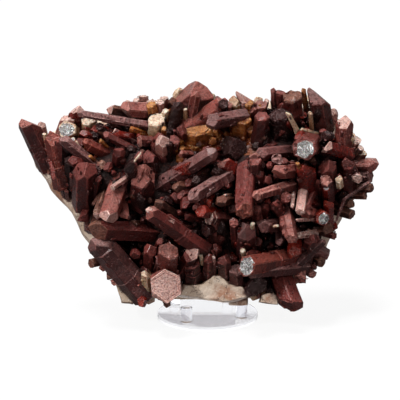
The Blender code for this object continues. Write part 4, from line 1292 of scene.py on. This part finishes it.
def within_crowd(point, crowd):
    """Whether the observer sees a point in front of the listed crystals or behind them, not beside them."""
    return crowd.ray_cast(OBSERVER, (point - OBSERVER).normalized())[0] is not None


def within_outline(point):
    return outline_holds(*display_place(point)[:2])


print("the outline holds the middle of the view:", outline_holds(0, 0))

# %% [markdown]
# The stain of the small crystals follows their place: honey in the hollow under the summit, pale along the top
# and at the right end, darkest in the middle. The darkest patches lie where the gaps are deep, and their
# near-black is partly painted shade.

# %% Stain by place
DRUSE_FINISHES = ["maroon"] * 10 + ["mauve"] * 2 + ["rosy"] + ["brown"] * 3 + ["red"] * 3 + ["black"] * 7
HONEY = ["amber"] * 6 + ["brown"] * 2 + ["maroon"] + ["cream"]
PALE = ["pink"] * 3 + ["cream"] * 3 + ["mauve"] * 2 + ["rosy"]
SHADED_UNDERGROWTH = ["black"] * 3 + ["maroon"]
DARK_AND_SHADED = ["maroon"] * 5 + ["black"] * 6 + ["brown"] * 2 + ["red"]
PATCHES = [
    ((0, 42), (36, 12), HONEY), ((-63, 34), (8, 8), HONEY), ((-12, -48), (14, 7), HONEY),
    ((62, 57), (5, 5), HONEY), ((-28, 60), (14, 5), HONEY), ((-14, 32), (6, 9), HONEY),
    ((96, 36), (9, 15), PALE), ((-45, 62), (24, 4), PALE), ((34, 60), (14, 4), PALE),
    ((-98, 36), (5, 8), PALE),
    ((-32, -20), (26, 18), DARK_AND_SHADED), ((-10, 8), (30, 22), DARK_AND_SHADED), ((60, 2), (12, 10), DARK_AND_SHADED),
]


def finish_here(across, up, dice):
    """The stain of the small crystals by place: honey, pale, dark with painted shade, or the usual mixture."""
    for (x, y), (wide, high), finishes in PATCHES:
        if ((across - x) / wide) ** 2 + ((up - y) / high) ** 2 < 1:
            return dice.choice(finishes)
    return dice.choice(DRUSE_FINISHES)


print(len(PATCHES), "patches of stain")

# %% [markdown]
# Small crystals follow their larger neighbours, because they grew from the same wall in the same solution. A
# copy that would stand in front of a listed crystal is shortened to end behind it, or tried again as
# undergrowth that points more nearly at the observer. The undergrowth is mostly black, partly as painted shade
# for the deep gaps.

# %% The druse
RIM_ACROSS = 104
RIM_UP = 62


def axes_of(row):
    """Tip, foot and the directions along, beside and in front of a listed crystal."""
    top = seen(*row[1])
    foot = seen(*row[2])
    along = (top - foot).normalized()
    side = along.cross(NEARER).normalized()
    front = side.cross(along).normalized()
    if front.dot(NEARER) < 0:
        front = -front
    return top, foot, along, side, front


def neighbour_way(across, up):
    """The direction of the listed crystal that stands nearest in the view."""
    def distance(row):
        return math.hypot((row[1][0] + row[2][0]) / 2 - across, (row[1][1] + row[2][1]) / 2 - up)
    return axes_of(min(CRYSTALS, key=distance))[2]


def grid_spots(step, dice):
    """Places on a shaken grid, so that no gap is left bare."""
    for row in range(-int(RIM_UP / step), int(RIM_UP / step) + 1):
        for column in range(-int(RIM_ACROSS / step), int(RIM_ACROSS / step) + 1):
            yield (column + dice.uniform(-0.5, 0.5)) * step, (row + dice.uniform(-0.5, 0.5)) * step


def room_at(root, tip, along, length, crowd):
    """How long a crystal can be before it would hide a listed one."""
    hit = crowd.ray_cast(OBSERVER, (tip - OBSERVER).normalized())[0]
    if hit is None or (hit - OBSERVER).length <= (tip - OBSERVER).length + 0.001:
        return length
    return (display_place(hit)[2] - display_place(root)[2] - 1.5) / max(0.3, along.dot(NEARER))


def druse(stock, spots, widths, lengths, dice, ground, crowd):
    """Stands copies on the ground in the gaps that the observer sees between the listed crystals."""
    made = []
    for across, up in spots:
        if not outline_holds(across, up):
            continue
        sight = (seen(across, up, 0) - OBSERVER).normalized()
        root, _, face, _ = ground.ray_cast(OBSERVER, sight)
        if root is None or matrix.data.polygons[face].material_index == 0:
            continue
        width = dice.uniform(*widths)
        length = dice.uniform(*lengths) * width
        sway = RIGHT * dice.uniform(-0.4, 0.4) + UPWARD * dice.uniform(-0.4, 0.4)
        for nearer, length in ((dice.uniform(0.1, 0.9), length), (2.5, 0.6 * length)):
            along = (neighbour_way(across, up) + sway + NEARER * nearer).normalized()
            tip = root + along * length * MM
            room = room_at(root, tip, along, length, crowd)
            if room > 3 and within_outline(tip):
                tip = root + along * min(length, room) * MM
                base = root - along * 3 * MM
                # Undergrowth is mostly black, partly as painted shade for the deep gaps.
                finish = finish_here(across, up, dice) if nearer < 1 else dice.choice(SHADED_UNDERGROWTH)
                made.append(copy_crystal(dice.choice(stock), width, base, tip, finish, dice))
                break
    return made


print("ready to fill the gaps")

# %% [markdown]
# Large crystals seldom stand alone. Lesser ones grow at their sides in the same direction, groups lean over
# the rear rim, and nibs cover the flanks, thickest underneath.

# %% Companions, rear groups and overgrowth
COMPANIONS_FROM = 5.5
REAR_GROUP = 9
NIBS = 420


def companions(stock, dice, crowd):
    """Lesser crystals grown side by side with the larger ones, in the same direction or nearly."""
    made = []
    for row in CRYSTALS:
        width = row[3]
        if width < COMPANIONS_FROM:
            continue
        top, foot, along, side, front = axes_of(row)
        for _ in range(dice.choice((0, 1, 1, 2, 3))):
            bearing = dice.uniform(0, 2 * math.pi)
            aside = side * math.cos(bearing) + front * 0.5 * math.sin(bearing)
            share = dice.uniform(0.25, 0.6)
            most = 0.75 if " " in row[0] else 0.93
            start = foot + aside * (0.5 - 0.4 * share) * width * MM
            way = (along + aside * dice.uniform(-0.02, 0.16)).normalized()
            end_point = start + way * (top - foot).length * dice.uniform(0.4, most)
            if within_outline(end_point) and within_crowd(end_point, crowd):
                finish = row[0].split(" ")[0]
                made.append(copy_crystal(dice.choice(stock), share * width, start, end_point, finish, dice))
    return made


def rear_groups(stock, dice, crowd, ground):
    """Lesser crystals round each of those that lean over the rear rim."""
    made = []
    for (across, up), width in REAR_CRYSTALS:
        root = seen(across * REAR_REACH, up * REAR_REACH, REAR_ROOT_OUT)
        reach = seen(across, up, REAR_TIP_OUT) - root
        for _ in range(REAR_GROUP):
            aside = RIGHT * dice.uniform(-1, 1) + UPWARD * dice.uniform(-1, 1)
            start = root + aside * width * MM
            onward = reach * dice.uniform(0.3, 0.85)
            end_point = start + onward + aside * width * dice.uniform(-0.2, 0.3) * MM
            if not (within_crowd(end_point, crowd) or within_crowd(end_point, ground)):
                continue
            finish = finish_here(across, up, dice)
            master = dice.choice(stock)
            made.append(copy_crystal(master, width * dice.uniform(0.3, 0.7), start, end_point, finish, dice))
    return made


def overgrowth(stock, count, dice, crowd):
    """Nibs on the flanks of the larger crystals, nearly parallel to them and thickest underneath."""
    made = []
    weights = [row[3] * (seen(*row[1]) - seen(*row[2])).length for row in CRYSTALS]
    for row in dice.choices(CRYSTALS, weights, k=count):
        width = row[3]
        top, foot, along, side, front = axes_of(row)
        bearing = dice.uniform(-0.3, 1.1) * math.pi
        below = -1 if side.z > 0 else 1
        outward = (side * below * math.cos(bearing) + front * math.sin(bearing)).normalized()
        inside = foot + (top - foot) * dice.uniform(0.25, 0.85)
        surface = crowd.ray_cast(inside + outward * width * MM, -outward, width * MM)[0]
        if surface is None or not within_outline(surface):
            continue
        size = min(dice.uniform(0.7, 1.9), 0.25 * width)
        start = surface - outward * 0.4 * size * MM
        way = (along + outward * dice.uniform(0.05, 0.35)).normalized()
        end_point = start + way * size * dice.uniform(1.2, 2.6) * MM
        if not within_crowd(end_point, crowd):
            continue
        own = row[0].split(" ")[0]
        finish = dice.choice((own, own, "maroon", "mauve"))
        made.append(copy_crystal(dice.choice(stock), size, start, end_point, finish, dice))
    return made


print("ready to add", NIBS, "nibs at most")

# %% [markdown]
# The coarse crystals come first and the fine ones after them, and the masters are deleted at the end.

# %% The whole druse
def make_druse():
    """All the copies, joined."""
    ground = tree_of([matrix])
    crowd = tree_of([crystals])
    dice = random.Random(21)
    pieces = druse(masters, grid_spots(7.5, dice), (4, 8), (1.8, 3.6), dice, ground, crowd)
    pieces += companions(masters, dice, crowd)
    pieces += rear_groups(masters, dice, crowd, ground)
    pieces += druse(small_masters, grid_spots(4.2, dice), (1.6, 4), (1.4, 3.2), dice, ground, crowd)
    pieces += overgrowth(small_masters, NIBS, dice, crowd)
    for made in masters + small_masters:
        bpy.data.objects.remove(made, do_unlink=True)
    print("druse crystals:", len(pieces))
    return join(pieces, "druse")


druse_crystals = make_druse()

# %% [markdown]
# ## Light in the gaps
#
# Between the crystals the cluster is deep and lies in shade, and iron oxide and dirt gather there. How open
# each point is to the outside is measured once, by casting a few rays from it against everything that was
# made, and stored as an attribute that the finishes read. The finishes paint shade with it: the less open a
# point is, the darker its colour, which stands for both the shade and the dirt.

# %% Openness
RAYS = 14
RAY_REACH = 0.026
SHORT_REACH = 0.014
LIFT = 0.00025
GOLDEN_TURN = 2.39996


def ray_fan(count):
    """Directions spread evenly over a dome, closer together round its top."""
    found = []
    for k in range(count):
        rise = math.sqrt(1 - (k + 0.5) / count)
        turn = k * GOLDEN_TURN
        flat = math.sqrt(1 - rise * rise)
        found.append(Vector((flat * math.cos(turn), flat * math.sin(turn), rise)))
    return found


def measure_openness(pieces):
    """Stores on each point the share of its rays that meet nothing."""
    solid = tree_of(pieces)
    fan = ray_fan(RAYS)
    for piece in pieces:
        mesh = piece.data
        reach = SHORT_REACH if piece is crystals else RAY_REACH
        values = []
        for vert in mesh.vertices:
            normal = vert.normal
            basis = normal.to_track_quat("Z", "Y")
            start = vert.co + normal * LIFT
            free = sum(1 for ray in fan if solid.ray_cast(start, basis @ ray, reach)[0] is None)
            values.append(free / RAYS)
        layer = mesh.attributes.new("openness", "FLOAT", "POINT")
        layer.data.foreach_set("value", values)
        print(piece.name, "mean openness", round(sum(values) / len(values), 2))


measure_openness([crystals, matrix, druse_crystals])

# %% [markdown]
# ## The stand
#
# The stand is a disc of clear acrylic sheet with four rods glued on. Each is a cylinder primitive whose
# edges are bevelled, because polished acrylic shows a bright line along its rim. Clear acrylic is plain
# transmission with an index of 1.49.

# %% Clear acrylic
ACRYLIC_IOR = 1.49


def make_acrylic():
    made = bpy.data.materials.new("clear_acrylic")
    made.use_nodes = True
    tree = made.node_tree
    shader = tree.nodes["Principled BSDF"]
    spot = put(tree, "ShaderNodeTexCoord").outputs["Object"]
    tint = blend(tree, noise(tree, spot, 40.0), tone(250, 250, 252), tone(246, 247, 252))
    tree.links.new(tint, shader.inputs["Base Color"])
    tree.links.new(ramp(tree, noise(tree, spot, 260.0), 0.3, 0.7, 0.0, 0.03), shader.inputs["Roughness"])
    shader.inputs["Transmission Weight"].default_value = 1.0
    shader.inputs["IOR"].default_value = ACRYLIC_IOR
    return made


acrylic = make_acrylic()
print("made the finish", acrylic.name)


def rod(node, sides, edge):
    """A cylinder that fills a node's box, with a polished bevel."""
    low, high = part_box(node)
    middle = (low + high) / 2
    bpy.ops.mesh.primitive_cylinder_add(
        vertices=sides, radius=(high.x - low.x) / 2 / MM, depth=(high.z - low.z) / MM, location=(0, 0, 0)
    )
    made = bpy.context.object
    bpy.ops.object.mode_set(mode="EDIT")
    bpy.ops.mesh.select_all(action="DESELECT")
    work = bmesh.from_edit_mesh(made.data)
    for line in work.edges:
        line.select_set(abs(line.verts[0].co.z - line.verts[1].co.z) < 0.01)
    bmesh.update_edit_mesh(made.data)
    bpy.ops.mesh.bevel(offset=edge, segments=3, affect="EDGES")
    end_block(made)
    made.data.transform(Matrix.Translation(middle) @ Matrix.Scale(MM, 4))
    made.data.materials.append(acrylic)
    bpy.context.view_layer.objects.active = made
    made.select_set(True)
    bpy.ops.object.shade_smooth_by_angle(angle=math.radians(35))
    made.select_set(False)
    made.name = "clear_" + node
    made.data.name = made.name
    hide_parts(node)
    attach(made, "root")
    return made


rod("stand_base", 128, 0.4)
for corner in ("front_left", "front_right", "back_left", "back_right"):
    rod("peg_" + corner, 48, 0.35)
print("the disc and its four pegs stand")

# %% [markdown]
# ## Riding on the frame
#
# The cluster is one fused stone. Its listed crystals, vein quartz and druse stand for one node, and nothing
# moves.

# %% Pieces and bodies
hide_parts("crystal_cluster")
for piece in (crystals, matrix, druse_crystals):
    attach(piece, "root")
print("three pieces of quartz ride on the root")

# %% [markdown]
# ## Floor and light
#
# A broad white floor fills the picture, as on a light table: part of its white is its own glow. A wide sun
# from above is the main light, and a dim white room fills in. Faces that look down get less light from the
# floor than it shows the eye, which keeps the undersides of the crystals dark.

# %% Stage
FLOOR_SIZE = 16
FLOOR_GLOW = 0.9
GLOW_THROUGH_ACRYLIC = 0.35
GLOW_ON_STONE = (0.52, 0.51, 0.54, 1)
WHITE = (1, 1, 1, 1)


def make_floor():
    """White paper that shows the eye and the acrylic more light than it gives the stone."""
    bpy.ops.mesh.primitive_grid_add(x_subdivisions=4, y_subdivisions=4, size=FLOOR_SIZE, location=(0, 0, 0))
    made = bpy.context.object
    made.name = "white_floor"
    paper = bpy.data.materials.new("white_paper")
    paper.use_nodes = True
    tree = paper.node_tree
    tree.nodes.remove(tree.nodes["Principled BSDF"])
    way = put(tree, "ShaderNodeLightPath")
    direct = sum_up(tree, "MAXIMUM", way.outputs["Is Camera Ray"], way.outputs["Is Transmission Ray"])
    inside = sum_up(tree, "MINIMUM", way.outputs["Transmission Depth"], 1.0)
    grey = put(tree, "ShaderNodeBsdfDiffuse", None, Color=(0.16, 0.14, 0.14, 1))
    white = put(tree, "ShaderNodeBsdfDiffuse", None, Color=(0.08, 0.08, 0.08, 1))
    light = put(tree, "ShaderNodeEmission")
    extra = scaled(tree, way.outputs["Is Transmission Ray"], GLOW_THROUGH_ACRYLIC)
    tree.links.new(plus(tree, extra, FLOOR_GLOW), light.inputs["Strength"])
    tree.links.new(blend(tree, direct, GLOW_ON_STONE, WHITE), light.inputs["Color"])
    both = put(tree, "ShaderNodeAddShader")
    tree.links.new(white.outputs[0], both.inputs[0])
    tree.links.new(light.outputs[0], both.inputs[1])
    choice = put(tree, "ShaderNodeMixShader")
    tree.links.new(sum_up(tree, "MAXIMUM", direct, inside), choice.inputs[0])
    tree.links.new(grey.outputs[0], choice.inputs[1])
    tree.links.new(both.outputs[0], choice.inputs[2])
    tree.links.new(choice.outputs[0], tree.nodes["Material Output"].inputs[0])
    made.data.materials.append(paper)
    made.select_set(False)


make_floor()
print("the floor is", FLOOR_SIZE, "m across")

# %% [markdown]
# The sun is wide, so its shadows have soft edges. Two small lamps give the glints on the faces. The room is
# bright above and behind, and glossy faces see it dimmer than it is.

# %% Lights and room
ABOVE_STAND = (0, 0, 0.08)
ROOM_SEEN = 0.97


def add_light(kind, name, place, target, power, **settings):
    """A lamp at a place, turned to its target."""
    bpy.ops.object.light_add(type=kind, location=place)
    made = bpy.context.object
    made.name = name
    made.data.energy = power
    for setting, value in settings.items():
        setattr(made.data, setting, value)
    made.rotation_euler = (Vector(target) - Vector(place)).to_track_quat("-Z", "Y").to_euler()
    made.select_set(False)


add_light("SUN", "overhead", (-0.25, -0.22, 1.6), (0, 0, 0), 3.25, angle=math.radians(20))
add_light("AREA", "window", (-0.7, -0.7, 0.8), ABOVE_STAND, 9, size=0.14)
add_light("AREA", "front_lamp", (0.3, -1.3, 0.6), ABOVE_STAND, 3.5, size=0.08)
world = bpy.data.worlds.new("studio")
bpy.context.scene.world = world
world.use_nodes = True
tree = world.node_tree
way = put(tree, "ShaderNodeLightPath")
seen_directly = sum_up(tree, "MAXIMUM", way.outputs["Is Camera Ray"], way.outputs["Is Transmission Ray"])
through = scaled(tree, sum_up(tree, "MINIMUM", way.outputs["Transmission Depth"], 1.0), 0.5)
seen_directly = sum_up(tree, "MAXIMUM", seen_directly, through)
room = tree.nodes["Background"]
room.inputs["Color"].default_value = WHITE
height = put(tree, "ShaderNodeSeparateXYZ")
tree.links.new(put(tree, "ShaderNodeTexCoord").outputs["Generated"], height.inputs[0])
ceiling = ramp(tree, height.outputs["Z"], 0.1, 0.9, 0.03, 0.6)
backdrop = ramp(tree, height.outputs["Y"], 0.8, 0.95, 0.0, 0.8)
shine = sum_up(tree, "SUBTRACT", 1.0, scaled(tree, way.outputs["Is Glossy Ray"], 0.6))
ceiling = sum_up(tree, "MAXIMUM", scaled(tree, ceiling, shine), backdrop)
strength = sum_up(tree, "MAXIMUM", ceiling, scaled(tree, seen_directly, ROOM_SEEN))
tree.links.new(strength, room.inputs["Strength"])
bpy.context.scene.view_settings.view_transform = "Standard"
print("three lights and a room")

# %% [markdown]
# ## The last step
#
# Last, nothing is left selected.

# %% The last step
bpy.ops.object.select_all(action="DESELECT")
